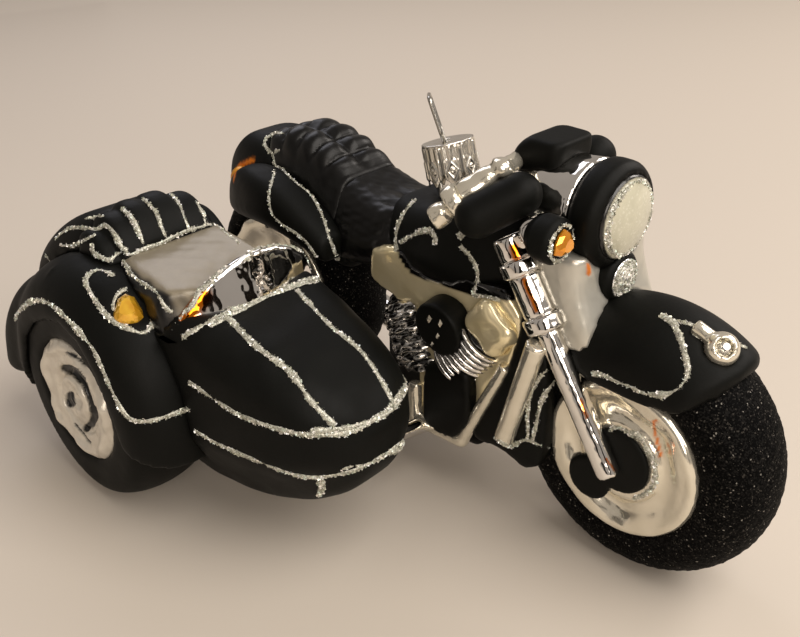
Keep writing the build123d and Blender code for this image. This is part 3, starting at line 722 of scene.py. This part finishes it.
carve("passenger_seat_pad", passenger_rolls)
carve("rider_seat_pad", rider_pleats)
carve("tonneau_cloth", soft_folds)
tuck_cover()
brush("tonneau_cloth", "black", cover_side)
raise_screen()
carve("sidecar_wheel_disc", wheel_swirl)
carve("front_wheel_dish", blown_dish)
for name, depth, spacing, seed in DENTS:
    carve(name, lambda points, normals: depth * ripples(points, spacing, seed))
# Painted shade in the cap's folds
brush("cap_crown", "black", cap_fold_shade)
carve("cap_crown", stamped_petals)
lift_cap()
brush("headlamp_face", "black", lens_margin)
brush("rear_cylinder_fins", "black", lambda points, normals: step_up(ripples(points, 2.1, 41), -0.2, 0.3))
brush("front_cylinder_fins", "black", fin_shade)
carve("bars_and_grips", grip_rings)


# Lines of the photograph, laid on the pieces

def pixel_ray(px, py):
    """The direction that a pixel of the photograph looks along."""
    way = Vector(((px - PHOTO_WIDE / 2) / FOCAL_PIXELS, (PHOTO_HIGH / 2 - py) / FOCAL_PIXELS, -1.0))
    return (facing @ way).normalized()


def in_photo(points):
    """Where points, in millimetres, fall in the photograph."""
    seen = (points - np.array(CAMERA_AT)) @ np.array(facing)
    return (PHOTO_WIDE / 2 - FOCAL_PIXELS * seen[:, 0] / seen[:, 2],
            PHOTO_HIGH / 2 + FOCAL_PIXELS * seen[:, 1] / seen[:, 2])


def skin_of(*names):
    """One search tree over the faces of some pieces."""
    points, faces = [], []
    for name in names:
        mesh = PIECES[name].data
        first = len(points)
        points += [v.co for v in mesh.vertices]
        faces += [[first + i for i in face.vertices] for face in mesh.polygons]
    return BVHTree.FromPolygons(points, faces)


def eased(points, step):
    """A smooth path through the points, sampled every step."""
    way = np.array(points, float)
    ends = np.vstack([2 * way[0] - way[1], way, 2 * way[-1] - way[-2]])
    made = []
    for p0, p1, p2, p3 in zip(ends, ends[1:], ends[2:], ends[3:]):
        count = max(2, int(np.linalg.norm(p2 - p1) / step))
        t = np.linspace(0, 1, count, endpoint=False)[:, None]
        made.append(0.5 * (2 * p1 + (p2 - p0) * t + (2 * p0 - 5 * p1 + 4 * p2 - p3) * t**2
                           + (3 * p1 - p0 - 3 * p2 + p3) * t**3))
    return np.vstack(made + [way[-1:]])


def traced(skin, pixels):
    """Where a line of the photograph lies on a skin, in millimetres, with the skin's normals."""
    points, normals = [], []
    for px, py in eased(pixels, 1.5):
        hit, normal, _, _ = skin.ray_cast(CAMERA_AT * MM, pixel_ray(px, py))
        if hit is not None:
            points.append(hit / MM)
            normals.append(normal)
    return points, normals


def laid(skin, points):
    """The nearest places on a skin to some points, with the skin's normals."""
    found = [skin.find_nearest(Vector(point) * MM) for point in points]
    return [hit[0] / MM for hit in found], [hit[1] for hit in found]


def on_photo(lines):
    return [(width, *traced(skin_of(*names), pixels)) for names, width, pixels in lines]


def far_side(rows, lines, middle):
    """The same lines on the side that the photograph doesn't show, mirrored about the plane y = middle."""
    made = []
    for (names, width, _), (_, points, _) in zip(rows, lines):
        if len(points) > 3:
            flipped = [(p[0], 2 * middle - p[1], p[2]) for p in points]
            made.append((width, *laid(skin_of(*names), flipped)))
    return made


def ring_on(names, width, middle, radius, start, end):
    """A ring, or part of one, round a lamp that faces ahead: turns count from the left side upwards."""
    turns = np.radians(np.linspace(start, end, max(12, int(abs(end - start) * radius / 12))))
    x, y, z = middle
    points = [(x, y + radius * math.cos(turn), z + radius * math.sin(turn)) for turn in turns]
    return (width, *laid(skin_of(*names), points))


def rim_of(name, width, margin):
    """The top edge of a piece, from one side of the sidecar to the other."""
    mesh = PIECES[name].data
    points, normals = points_of(mesh), normals_of(mesh)
    low, high = points[:, 1].min() + margin, points[:, 1].max() - margin
    top = [np.argmax(points[:, 2] - 20 * np.abs(points[:, 1] - y)) for y in np.arange(low, high, 0.4)]
    return width, points[top], normals[top]


# The pieces that a line may lie on
HULL = ("sidecar_hull_skin",)
FENDER = ("sidecar_fender_skin", "sidecar_hull_skin")
SEAT = ("seat_back_rolls", "sidecar_trunk_skin", "tonneau_cloth")
TRUNK = ("sidecar_trunk_skin", "seat_back_rolls")
TONNEAU = ("tonneau_cloth", "sidecar_hull_skin", "sidecar_fender_skin")
BAGS = ("saddlebag_pair", "rear_fender_skin", "passenger_seat_pad")
TANK = ("tank_shell", "leg_shield_pair", "rider_seat_pad", "tank_mirror_band")
SHIELD = ("leg_shield_pair", "down_tube_pair", "crankcase_block")
FRONT = ("front_fender_skin",)
ROTOR = ("brake_rotor_pair", "front_wheel_dish")

HULL_LINES = [
    # pieces, width, pixels of the photograph
    (HULL, 1.6, [(188, 381), (215, 400), (240, 415), (275, 428), (310, 435), (350, 432), (380, 415),
                 (400, 395), (408, 375)]),
    (HULL, 1.6, [(195, 431), (220, 445), (250, 458), (280, 470), (310, 477), (340, 474), (360, 468),
                 (385, 455), (404, 440)]),
    (HULL, 1.9, [(320, 478), (322, 488), (318, 497)]),
    (HULL, 2.0, [(226, 316), (255, 345), (290, 372), (310, 400), (335, 426)]),
    (HULL, 1.6, [(296, 289), (330, 325), (360, 350), (380, 378), (393, 402)]),
    (HULL, 1.7, [(181, 338), (203, 325), (223, 315), (260, 299), (300, 285), (318, 281)]),
]
FENDER_LINES = [
    (FENDER, 1.7, [(15, 320), (20, 311), (30, 302), (42, 301), (53, 306), (65, 317), (82, 335), (95, 353),
                   (107, 380), (120, 407), (132, 420), (150, 421), (170, 415), (190, 409)]),
    (FENDER, 1.6, [(114, 276), (103, 270), (93, 271), (86, 278), (86, 284), (93, 297), (103, 311),
                   (113, 321), (127, 328), (142, 333), (150, 328), (154, 320), (152, 312)]),
    (FENDER, 1.1, [(113, 311), (114, 300), (120, 292), (127, 289)]),
]
SEAT_LINES = [
    (SEAT, 1.3, [(97.5, 230), (105, 225), (115, 235), (122.5, 250)]),
    (SEAT, 1.5, [(121, 208), (130, 216), (138.8, 232.5), (143.8, 245)]),
    (SEAT, 1.4, [(142.5, 198), (155, 211), (161, 226), (166, 237.5)]),
    (SEAT, 1.3, [(170, 192.5), (178.8, 203.8), (183.8, 216), (188.8, 227.5)]),
    (SEAT, 1.1, [(196, 201), (202.5, 212.5), (206, 225)]),
    (SEAT, 1.4, [(92, 243), (93, 252), (100, 257), (110, 260), (120, 252), (131, 255), (141, 250),
                 (160, 243.8), (172.5, 237.5), (189, 230), (204, 226), (212.5, 223.8)]),
    (SEAT, 2.0, [(122, 248), (124, 249), (126, 250), (128, 251)]),
    (SEAT, 0.8, [(212.5, 223.8), (220, 228), (230, 236), (240, 244)]),
    (TRUNK, 1.1, [(85, 219), (95, 217), (105, 216)]),
    (TRUNK, 1.2, [(55, 239), (66, 230), (76, 227.5), (97.5, 230)]),
    (TRUNK, 1.2, [(60, 245.6), (72.5, 245.6), (85, 240), (96, 234)]),
    (TRUNK, 1.1, [(45, 254), (48, 258), (51, 262.5)]),
    (TONNEAU, 1.1, [(112, 256), (123, 261), (133, 276), (146, 285), (157, 293), (165, 307), (173, 313)]),
]
REAR_LINES = [
    (BAGS, 1.3, [(284, 133.6), (274, 134), (266, 138.6), (264, 144), (268.6, 150), (273, 154), (274, 161),
                 (275.7, 167)]),
    (BAGS, 1.1, [(274, 153), (277, 151), (280, 150)]),
    (BAGS, 1.1, [(275.7, 167), (273, 177), (270, 188.6), (269, 198.6), (270.7, 210), (275.7, 218.6),
                 (285.7, 227), (297, 234), (307, 243), (314, 253), (320, 261)]),
    (BAGS, 1.2, [(278, 166), (288.6, 175.7), (300, 185.7), (310, 194), (318.6, 207), (324, 220),
                 (328.6, 235.7), (333, 247), (337, 260)]),
]
TANK_LINES = [
    (TANK, 1.5, [(416, 199), (406, 210), (399, 223), (396, 236), (397, 251)]),
    (TANK, 1.6, [(400, 242.5), (411, 236), (422, 231), (431, 231), (436, 239), (434, 244)]),
    (TANK, 1.6, [(460, 246), (470, 256), (476, 267), (477.5, 280), (472.5, 294)]),
    (TANK, 1.3, [(472.5, 294), (480, 296), (490, 298), (501, 300)]),
    (TANK, 2.0, [(458, 238), (464, 233), (470, 231)]),
    (TANK, 1.4, [(460, 216), (461, 222), (462.5, 230)]),
]
SHIELD_LINES = [
    (SHIELD, 1.3, [(548, 368), (535, 385), (528, 410), (528, 440)]),
    (SHIELD, 1.3, [(555, 380), (542, 400), (535, 430), (532, 442)]),
    (SHIELD, 1.3, [(495, 438), (510, 446), (525, 440), (540, 445), (565, 455)]),
]
FRONT_LINES = [
    (FRONT, 1.7, [(591.7, 373), (603, 375), (616.7, 381.7), (630, 386.7), (643, 393), (658, 395),
                  (670, 393), (680, 386.7), (686.7, 376.7), (687.5, 366.7), (685.8, 358), (683, 346.7),
                  (678, 333), (671.7, 321.7), (660, 315)]),
    (FRONT, 1.4, [(660, 315), (673, 320), (690, 324), (703, 329), (720, 336.7), (735, 343), (747, 348)]),
    (FRONT, 1.5, [(692, 333), (700, 338), (708, 345)]),
]
# The low part of the fender's line, which is all that the far side shows over the crown
FRONT_LOOP = (FRONT, 1.7, FRONT_LINES[0][2][:9])
ROTOR_LINES = [
    (ROTOR, 1.7, [(610, 429), (620, 428.5), (630, 433), (640, 438), (648, 451), (654, 465), (655, 477),
                  (651.7, 488), (643, 495), (633, 498)]),
]


def glitter_tree():
    """A glue bead along each curve, its skin strewn with flat flakes turned every way."""
    tree = bpy.data.node_groups.new("glitter line", "GeometryNodeTree")
    face = tree.interface
    for name, kind in (("Geometry", "Geometry"), ("Flake radius", "Float"), ("Flakes per area", "Float"),
                       ("Seed", "Int")):
        face.new_socket(name, in_out="INPUT", socket_type="NodeSocket" + kind)
    face.new_socket("Geometry", in_out="OUTPUT", socket_type="NodeSocketGeometry")
    given = node(tree, "NodeGroupInput")
    radius = node(tree, "GeometryNodeInputRadius")
    ring = node(tree, "GeometryNodeCurvePrimitiveCircle", {"Resolution": 8, "Radius": 1.0})
    bead = node(tree, "GeometryNodeCurveToMesh", {
        "Curve": (given, "Geometry"), "Profile Curve": (ring, "Curve"), "Scale": (radius, "Radius"),
        "Fill Caps": True})
    spread = node(tree, "GeometryNodeDistributePointsOnFaces", {
        "Mesh": (bead, "Mesh"), "Density": (given, "Flakes per area"), "Seed": (given, "Seed")})
    flake = node(tree, "GeometryNodeMeshCircle", {
        "Vertices": 4, "Radius": (given, "Flake radius")}, fill_type="NGON")
    turn = node(tree, "FunctionNodeRandomValue", {
        "Min": (-1.35, -1.35, 0.0), "Max": (1.35, 1.35, 6.28), "Seed": 3}, data_type="FLOAT_VECTOR")
    tip = node(tree, "FunctionNodeEulerToRotation", {"Euler": (turn, "Value")})
    tilted = node(tree, "FunctionNodeRotateRotation", {
        "Rotation": (spread, "Rotation"), "Rotate By": (tip, "Rotation")}, rotation_space="LOCAL")
    grow = node(tree, "FunctionNodeRandomValue", {"Min": 0.5, "Max": 1.5, "Seed": 5}, data_type="FLOAT")
    strewn = node(tree, "GeometryNodeInstanceOnPoints", {
        "Points": (spread, "Points"), "Instance": (flake, "Mesh"), "Rotation": (tilted, "Rotation"),
        "Scale": (grow, "Value")})
    shade = node(tree, "FunctionNodeRandomValue", {"Min": 0.0, "Max": 1.0, "Seed": 7}, data_type="FLOAT")
    tinted = node(tree, "GeometryNodeStoreNamedAttribute", {
        "Geometry": (strewn, "Instances"), "Name": "tint", "Value": (shade, "Value")},
        data_type="FLOAT", domain="INSTANCE")
    loose = node(tree, "GeometryNodeRealizeInstances", {"Geometry": (tinted, "Geometry")})
    shiny = node(tree, "GeometryNodeSetMaterial", {
        "Geometry": (loose, "Geometry"), "Material": FINISHES["silver_glitter"]})
    bed = node(tree, "GeometryNodeSetMaterial", {"Geometry": (bead, "Mesh"), "Material": GLUE})
    both = node(tree, "GeometryNodeJoinGeometry", {"Geometry": (bed, "Geometry")})
    tree.links.new(shiny.outputs["Geometry"], both.inputs["Geometry"])
    node(tree, "NodeGroupOutput", {"Geometry": (both, "Geometry")})
    return tree


GLITTER = glitter_tree()

# How much of a line's width its glue bed has: the rest is flakes that stand off it
BED_SHARE = 0.72
FLAKE_RADIUS = 0.27
FLAKES_PER_MM2 = 6.5


def glitter_piece(name, lines, seed):
    """All the lines of one part of the ornament as one mesh of glue and flakes."""
    curve = bpy.data.curves.new(name, "CURVE")
    curve.dimensions = "3D"
    shake = np.random.default_rng(seed)
    for width, points, normals in lines:
        way = np.array([tuple(p) for p in points])
        for _ in range(3):
            way[1:-1] = (way[:-2] + 2 * way[1:-1] + way[2:]) / 4
        way -= np.array([tuple(n) for n in normals]) * width * 0.22
        spline = curve.splines.new("POLY")
        spline.points.add(len(way) - 1)
        spline.points.foreach_set("co", np.hstack([way * MM, np.ones((len(way), 1))]).ravel())
        wobble = np.convolve(shake.normal(0, 1, len(way) + 8), np.ones(9) / 3, "valid")
        radii = width / 2 * BED_SHARE * (1 + 0.14 * wobble) * MM
        radii[0], radii[-1] = radii[0] * 0.6, radii[-1] * 0.6
        spline.points.foreach_set("radius", radii)
    holder = bpy.data.objects.new(name, curve)
    scene.collection.objects.link(holder)
    modifier = holder.modifiers.new("glitter", "NODES")
    modifier.node_group = GLITTER
    sizes = {"Flake radius": FLAKE_RADIUS * MM, "Flakes per area": FLAKES_PER_MM2 / MM**2, "Seed": seed}
    for item in GLITTER.interface.items_tree:
        if item.in_out == "INPUT" and item.name in sizes:
            modifier[item.identifier] = sizes[item.name]
    mesh = bpy.data.meshes.new_from_object(holder.evaluated_get(bpy.context.evaluated_depsgraph_get()))
    bpy.data.objects.remove(holder)
    obj = bpy.data.objects.new(name, mesh)
    scene.collection.objects.link(obj)
    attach(obj, "ornament")
    PIECES[name] = obj


# The hull's lines that run round to its far side, and the plane between its sides
FAR_HULL = (0, 1, 5)
HULL_MIDDLE_Y = -39.8
hull_seen = on_photo(HULL_LINES)
hull_far = far_side([HULL_LINES[i] for i in FAR_HULL], [hull_seen[i] for i in FAR_HULL], HULL_MIDDLE_Y)
motorcycle_rows = REAR_LINES + TANK_LINES + SHIELD_LINES + [FRONT_LOOP]
motorcycle_seen = on_photo(motorcycle_rows)
rotor_seen = on_photo(ROTOR_LINES)
glitter_piece("hull_glitter", hull_seen + hull_far, 11)
glitter_piece("fender_glitter", on_photo(FENDER_LINES), 12)
glitter_piece("seat_glitter", on_photo(SEAT_LINES) + [rim_of("windscreen_mirror", 1.5, 1.6)], 13)
glitter_piece("motorcycle_glitter", motorcycle_seen[:-1] + on_photo(FRONT_LINES), 14)
glitter_piece("far_side_glitter", far_side(motorcycle_rows, motorcycle_seen, 0.0), 15)

HEADLAMP = ("headlamp_face", "headlamp_rim")
SIGNALS = ("signal_cup_pair",)
lamp_rings = [
    ring_on(HEADLAMP, 1.0, LAMP_MIDDLE, 6.9, 0, 360),
    ring_on(HEADLAMP, 1.5, LAMP_MIDDLE, 6.5, 105, 285),
    ring_on(SIGNALS, 1.0, SIGNAL_RIGHT, 3.1, 0, 360),
    ring_on(SIGNALS, 1.0, SIGNAL_LEFT, 3.1, 0, 360)]
for radius in (0.5, 1.3, 2.1, 2.9, 3.5):
    lamp_rings.append(ring_on(("fog_lamp_face",), 0.9, FOG_MIDDLE, radius, 0, 360))
glitter_piece("lamp_glitter", lamp_rings + rotor_seen + far_side(ROTOR_LINES, rotor_seen, 0.0), 16)


# Cut stones

def cut_stone(name, at, way, outline, high, slot, stands_for=(), finish=None, sides=12):
    """A foiled stone: a low girdle, two rows of crown facets and a flat table, each facet flat.

    outline gives the stone's radius, in millimetres, for a turn about its axis that starts at the top."""
    axis = Vector(way).normalized()
    across = axis.cross(Vector((0, 0, 1))).normalized()
    place = Matrix((across.cross(axis), across, axis)).transposed()
    rings = [(1.0, 0.0, 0.0), (1.0, 0.25, 0.0), (0.8, 0.65, 0.5), (0.5, 1.0, 0.0)]
    points = []
    for share, rise, shift in rings:
        for step in range(sides):
            turn = 2 * math.pi * (step + shift) / sides
            out = outline(turn) * share
            corner = Vector((out * math.cos(turn), out * math.sin(turn), high * rise))
            points.append(Vector(at) + place @ corner)
    faces = [tuple(reversed(range(sides))), tuple(range(3 * sides, 4 * sides))]
    for step in range(sides):
        following = (step + 1) % sides
        girdle, shoulder, middle, table = (ring * sides for ring in range(4))
        faces.append((girdle + step, girdle + following, shoulder + following, shoulder + step))
        faces.append((shoulder + step, shoulder + following, middle + step))
        faces.append((shoulder + following, middle + following, middle + step))
        faces.append((middle + step, middle + following, table + following))
        faces.append((middle + step, table + following, table + step))
    mesh = bpy.data.meshes.new(name)
    mesh.from_pydata([p * MM for p in points], [], faces)
    stone = add_piece(name, mesh, slot, stands_for=stands_for, finish=finish)
    mesh.polygons.foreach_set("use_smooth", [False] * len(mesh.polygons))
    PIECES[name] = stone


def rounded_triangle(turn):
    """The marker stone's outline: a soft triangle with one point up."""
    return 2.9 + 0.35 * math.cos(3 * turn) + 0.3 * math.cos(2 * turn)


def signal_outline(turn):
    """A signal stone's outline: nearly round, with three soft corners."""
    return 2.35 + 0.25 * math.cos(3 * turn)


cut_stone(
    "marker_stone", (-75.4, -58.6, 45.0), (13.0, -7.5, 18.0), rounded_triangle, 2.6, "amber_gem",
    ("marker_gem",), GOLD_STONE)
cut_stone(
    "lamp_stone", (12.5, -2.7, 50.3), (1.3, -1.5, 1.7), lambda turn: 1.15, 2.5, "clear_gem",
    ("fender_stone",), sides=8)
cut_stone("right_signal_stone", SIGNAL_RIGHT, (1, 0, 0), signal_outline, 1.5, "amber_gem", sides=9)
cut_stone(
    "left_signal_stone", SIGNAL_LEFT, (1, 0, 0), signal_outline, 1.5, "amber_gem", ("signal_gems",),
    sides=9)


# Small cast lugs

CAST_LUGS = [
    # corner pixels of the photograph, on the air cleaner
    [(429, 312), (433.5, 319), (429, 326), (424.5, 319)],
    [(440, 317), (444, 323.5), (440, 330), (436, 323.5)],
    [(437.5, 331), (441, 336), (437.5, 341), (434, 336)],
    [(432, 340), (435, 344), (432, 348), (429, 344)],
]


def cast_lugs():
    """Silver diamonds on the air cleaner: low pyramids."""
    points, faces = [], []
    skin = skin_of("air_cleaner_case")
    for corners in CAST_LUGS:
        hits = [skin.ray_cast(CAMERA_AT * MM, pixel_ray(*corner)) for corner in corners]
        rim = [hit[0] - hit[1] * 0.3 * MM for hit in hits]
        normal = sum((hit[1] for hit in hits), Vector()).normalized()
        crown = sum(rim, Vector()) / len(rim) + normal * 0.8 * MM
        first, count = len(points), len(rim)
        points += rim + [crown]
        for step in range(count):
            faces.append((first + step, first + (step + 1) % count, first + count))
        faces.append(tuple(first + step for step in reversed(range(count))))
    mesh = bpy.data.meshes.new("cast_lugs")
    mesh.from_pydata(points, [], faces)
    form = bmesh.new()
    form.from_mesh(mesh)
    bmesh.ops.recalc_face_normals(form, faces=form.faces)
    form.to_mesh(mesh)
    form.free()
    PIECES["cast_lugs"] = add_piece("cast_lugs", mesh, "silver_glass", finish=SATIN_GLASS)
    mesh.polygons.foreach_set("use_smooth", [False] * len(mesh.polygons))


cast_lugs()


# Brushed paint, and painted reflections of amber

FENDER_STREAK = [(253, 160), (246, 163), (239, 167), (235, 173), (234, 179)]
AMBER_PAINT_AND_REFLECTIONS = [
    # piece, half width, pixels of the photograph
    # On the fork, its web and the front wheel the amber is a painted reflection; on the windscreen, rear
    # fender and saddlebag it is lacquer.
    ("fork_cover_pair", 0.5, [(524, 280), (527, 289), (532, 299), (536, 310)]),
    ("fork_cover_pair", 0.9, [(514, 248), (515, 252), (516, 256)]),
    ("fork_leg_pair", 0.35, [(581, 400), (583, 408), (587, 417)]),
    ("fork_leg_pair", 0.25, [(606, 459), (610, 464), (615, 470)]),
    ("windscreen_mirror", 1.7, [(181, 326), (187, 316), (194, 307), (203, 297)]),
    ("rear_fender_skin", 0.6, FENDER_STREAK),
    ("saddlebag_pair", 0.6, FENDER_STREAK),
    ("front_wheel_dish", 0.3, [(657, 420), (654, 424), (657, 440), (661, 456)]),
    ("fork_web", 0.5, [(588, 265), (589, 269), (589, 273)]),
]


def lay_amber_paint_and_reflections():
    """Amber lacquer that ran off its brush, and painted reflections of amber on the silvered fork and front
    wheel, on each piece that has some.
    """
    for piece in dict.fromkeys(row[0] for row in AMBER_PAINT_AND_REFLECTIONS):
        skin = skin_of(piece)
        paths = [(wide, traced(skin, pixels)[0]) for name, wide, pixels in AMBER_PAINT_AND_REFLECTIONS if name == piece]
        brush(piece, "amber", lambda points, normals: step_up(
            sum(ridge(beside(points, path), wide) for wide, path in paths if len(path)), 0.1, 0.75))


# The tank's lower edge, in pixels of the photograph
TANK_EDGE = [(395, 250), (400, 262), (406, 270), (412, 277), (430, 283), (445, 289), (458, 293), (472, 297),
             (490, 300), (505, 302)]


def tank_edge(points, normals):
    """The tank's black runs down over the top of the silvered sheet, the same on both sides."""
    near = np.column_stack((points[:, 0], -np.abs(points[:, 1]), points[:, 2]))
    px, py = in_photo(near)
    line = np.interp(px, *zip(*TANK_EDGE))
    return step_up(line - py, 0.0, 2.0) * (px > TANK_EDGE[0][0])


# The sidecar wheel's grooves
WHEEL_GROOVES = [
    # half width and path, both in pixels of the photograph
    (4.0, [(65, 369), (69, 369), (75, 372), (81, 379)]),
    (2.5, [(81, 379), (85, 385), (88, 394), (92, 406)]),
    (3.6, [(93, 409), (94.5, 417), (91, 425), (86, 428)]),
    (4.6, [(70, 396), (71, 403)]),
    (1.9, [(67, 353), (76, 357), (86, 365)]),
    (1.1, [(75, 424), (83, 434), (90, 443)]),
]


def groove_wheel():
    """The sidecar wheel's black grooves: a crescent round its boss, the boss's hole and cuts in the rim."""
    shares = np.linspace(0, 1, 30)
    paths = []
    for wide, pixels in WHEEL_GROOVES:
        known = np.linspace(0, 1, len(pixels))
        paths.append((wide, np.column_stack([np.interp(shares, known, values) for values in zip(*pixels)])))

    def strength(points, normals):
        seen = np.column_stack(in_photo(points))
        line = np.max([ridge(beside(seen, path), wide) for wide, path in paths], axis=0)
        return step_up(line, 0.3, 0.5) * (points[:, 1] < SIDE_FACE_Y + 6)

    brush("sidecar_wheel_disc", "black", strength)
    carve("sidecar_wheel_disc", lambda points, normals: -0.4 * strength(points, normals))


lay_amber_paint_and_reflections()
brush("tank_mirror_band", "black", tank_edge)
groove_wheel()


# Studio

# Where the lamps point and the flags stand round, in metres
AIM = Vector((-0.05, -0.02, 0.02))
LAMPS = [
    # name, place and aim in metres, side, watts, colour
    ("key", (0.38, 0.07, 0.57), AIM, 0.60, 4.8, "#fff8f0"),
    ("fill", (0.42, -0.42, 0.34), AIM, 0.30, 1.5, "#fff3e6"),
    ("rim", (-0.45, 0.15, 0.40), AIM, 0.30, 0.6, "#f3f3ff"),
    ("back", (0.10, 0.62, 0.40), Vector((0.0, 0.35, 0.0)), 0.30, 1.8, "#fff6ee"),
]
FLAGS_AWAY = 0.5
FLAGS = [
    # compass turn in degrees, half width, foot and top in metres
    (-52, 0.05, 0.02, 0.22), (-78, 0.03, 0.0, 0.4), (-20, 0.03, 0.0, 0.20), (18, 0.05, 0.0, 0.22),
    (-115, 0.07, 0.0, 0.22), (60, 0.05, 0.05, 0.3), (165, 0.08, 0.0, 0.25),
]
FLOOR_REACH = 2.5


def soft_light(name, at, aim, side, watts, colour):
    """A square soft box."""
    lamp = bpy.data.lights.new(name, "AREA")
    lamp.shape = "RECTANGLE"
    lamp.size = lamp.size_y = side
    lamp.energy = watts
    lamp.color = linear(colour)[:3]
    obj = bpy.data.objects.new(name, lamp)
    obj.location = at
    obj.rotation_euler = (aim - Vector(at)).to_track_quat("-Z", "Y").to_euler()
    scene.collection.objects.link(obj)


def studio_sheet(name, corners, finish, only_mirrors=False):
    """A flat sheet of the studio. One that only mirrors see gives silvered glass something to show."""
    mesh = bpy.data.meshes.new(name)
    mesh.from_pydata(corners, [], [(0, 1, 2, 3)])
    mesh.materials.append(finish)
    sheet = bpy.data.objects.new(name, mesh)
    scene.collection.objects.link(sheet)
    if only_mirrors:
        sheet.visible_camera = sheet.visible_diffuse = sheet.visible_shadow = False


def studio_paper():
    """Pale warm paper, almost even, that the ornament stands on."""
    return drifting(
        "pale studio paper", ("#c1b7ab", "#ccc3b7"), (770, 1.0), Roughness=0.6, Specular_IOR_Level=0.25)


def studio_felt():
    """Black felt: the dark bands in the silvered glass."""
    return drifting(
        "black studio felt", ("#050403", "#1c1611"), (16.7, 2.0), Roughness=0.9, Specular_IOR_Level=0.1)


def upright_flag(name, degrees, half_wide, low, high, finish):
    """A flag that stands round the ornament and faces it."""
    side = Vector((math.cos(math.radians(degrees)), math.sin(math.radians(degrees)), 0))
    across = Vector((-side.y, side.x, 0)) * half_wide
    foot = Vector((AIM.x, AIM.y, 0)) + side * FLAGS_AWAY
    up = Vector((0, 0, 1))
    studio_sheet(name, [
        foot - across + up * low, foot + across + up * low, foot + across + up * high,
        foot - across + up * high], finish, only_mirrors=True)


studio_sheet("floor", [
    (-FLOOR_REACH, -FLOOR_REACH, 0), (FLOOR_REACH, -FLOOR_REACH, 0), (FLOOR_REACH, FLOOR_REACH, 0),
    (-FLOOR_REACH, FLOOR_REACH, 0)], studio_paper())
for lamp_row in LAMPS:
    soft_light(*lamp_row)
felt = studio_felt()
for index, flag_row in enumerate(FLAGS):
    upright_flag(f"flag_{index}", *flag_row, felt)
world = bpy.data.worlds.new("studio")
scene.world = world
world.use_nodes = True
sky = world.node_tree.nodes["Background"]
sky.inputs["Color"].default_value = linear("#d8cdc2")
sky.inputs["Strength"].default_value = 0.5
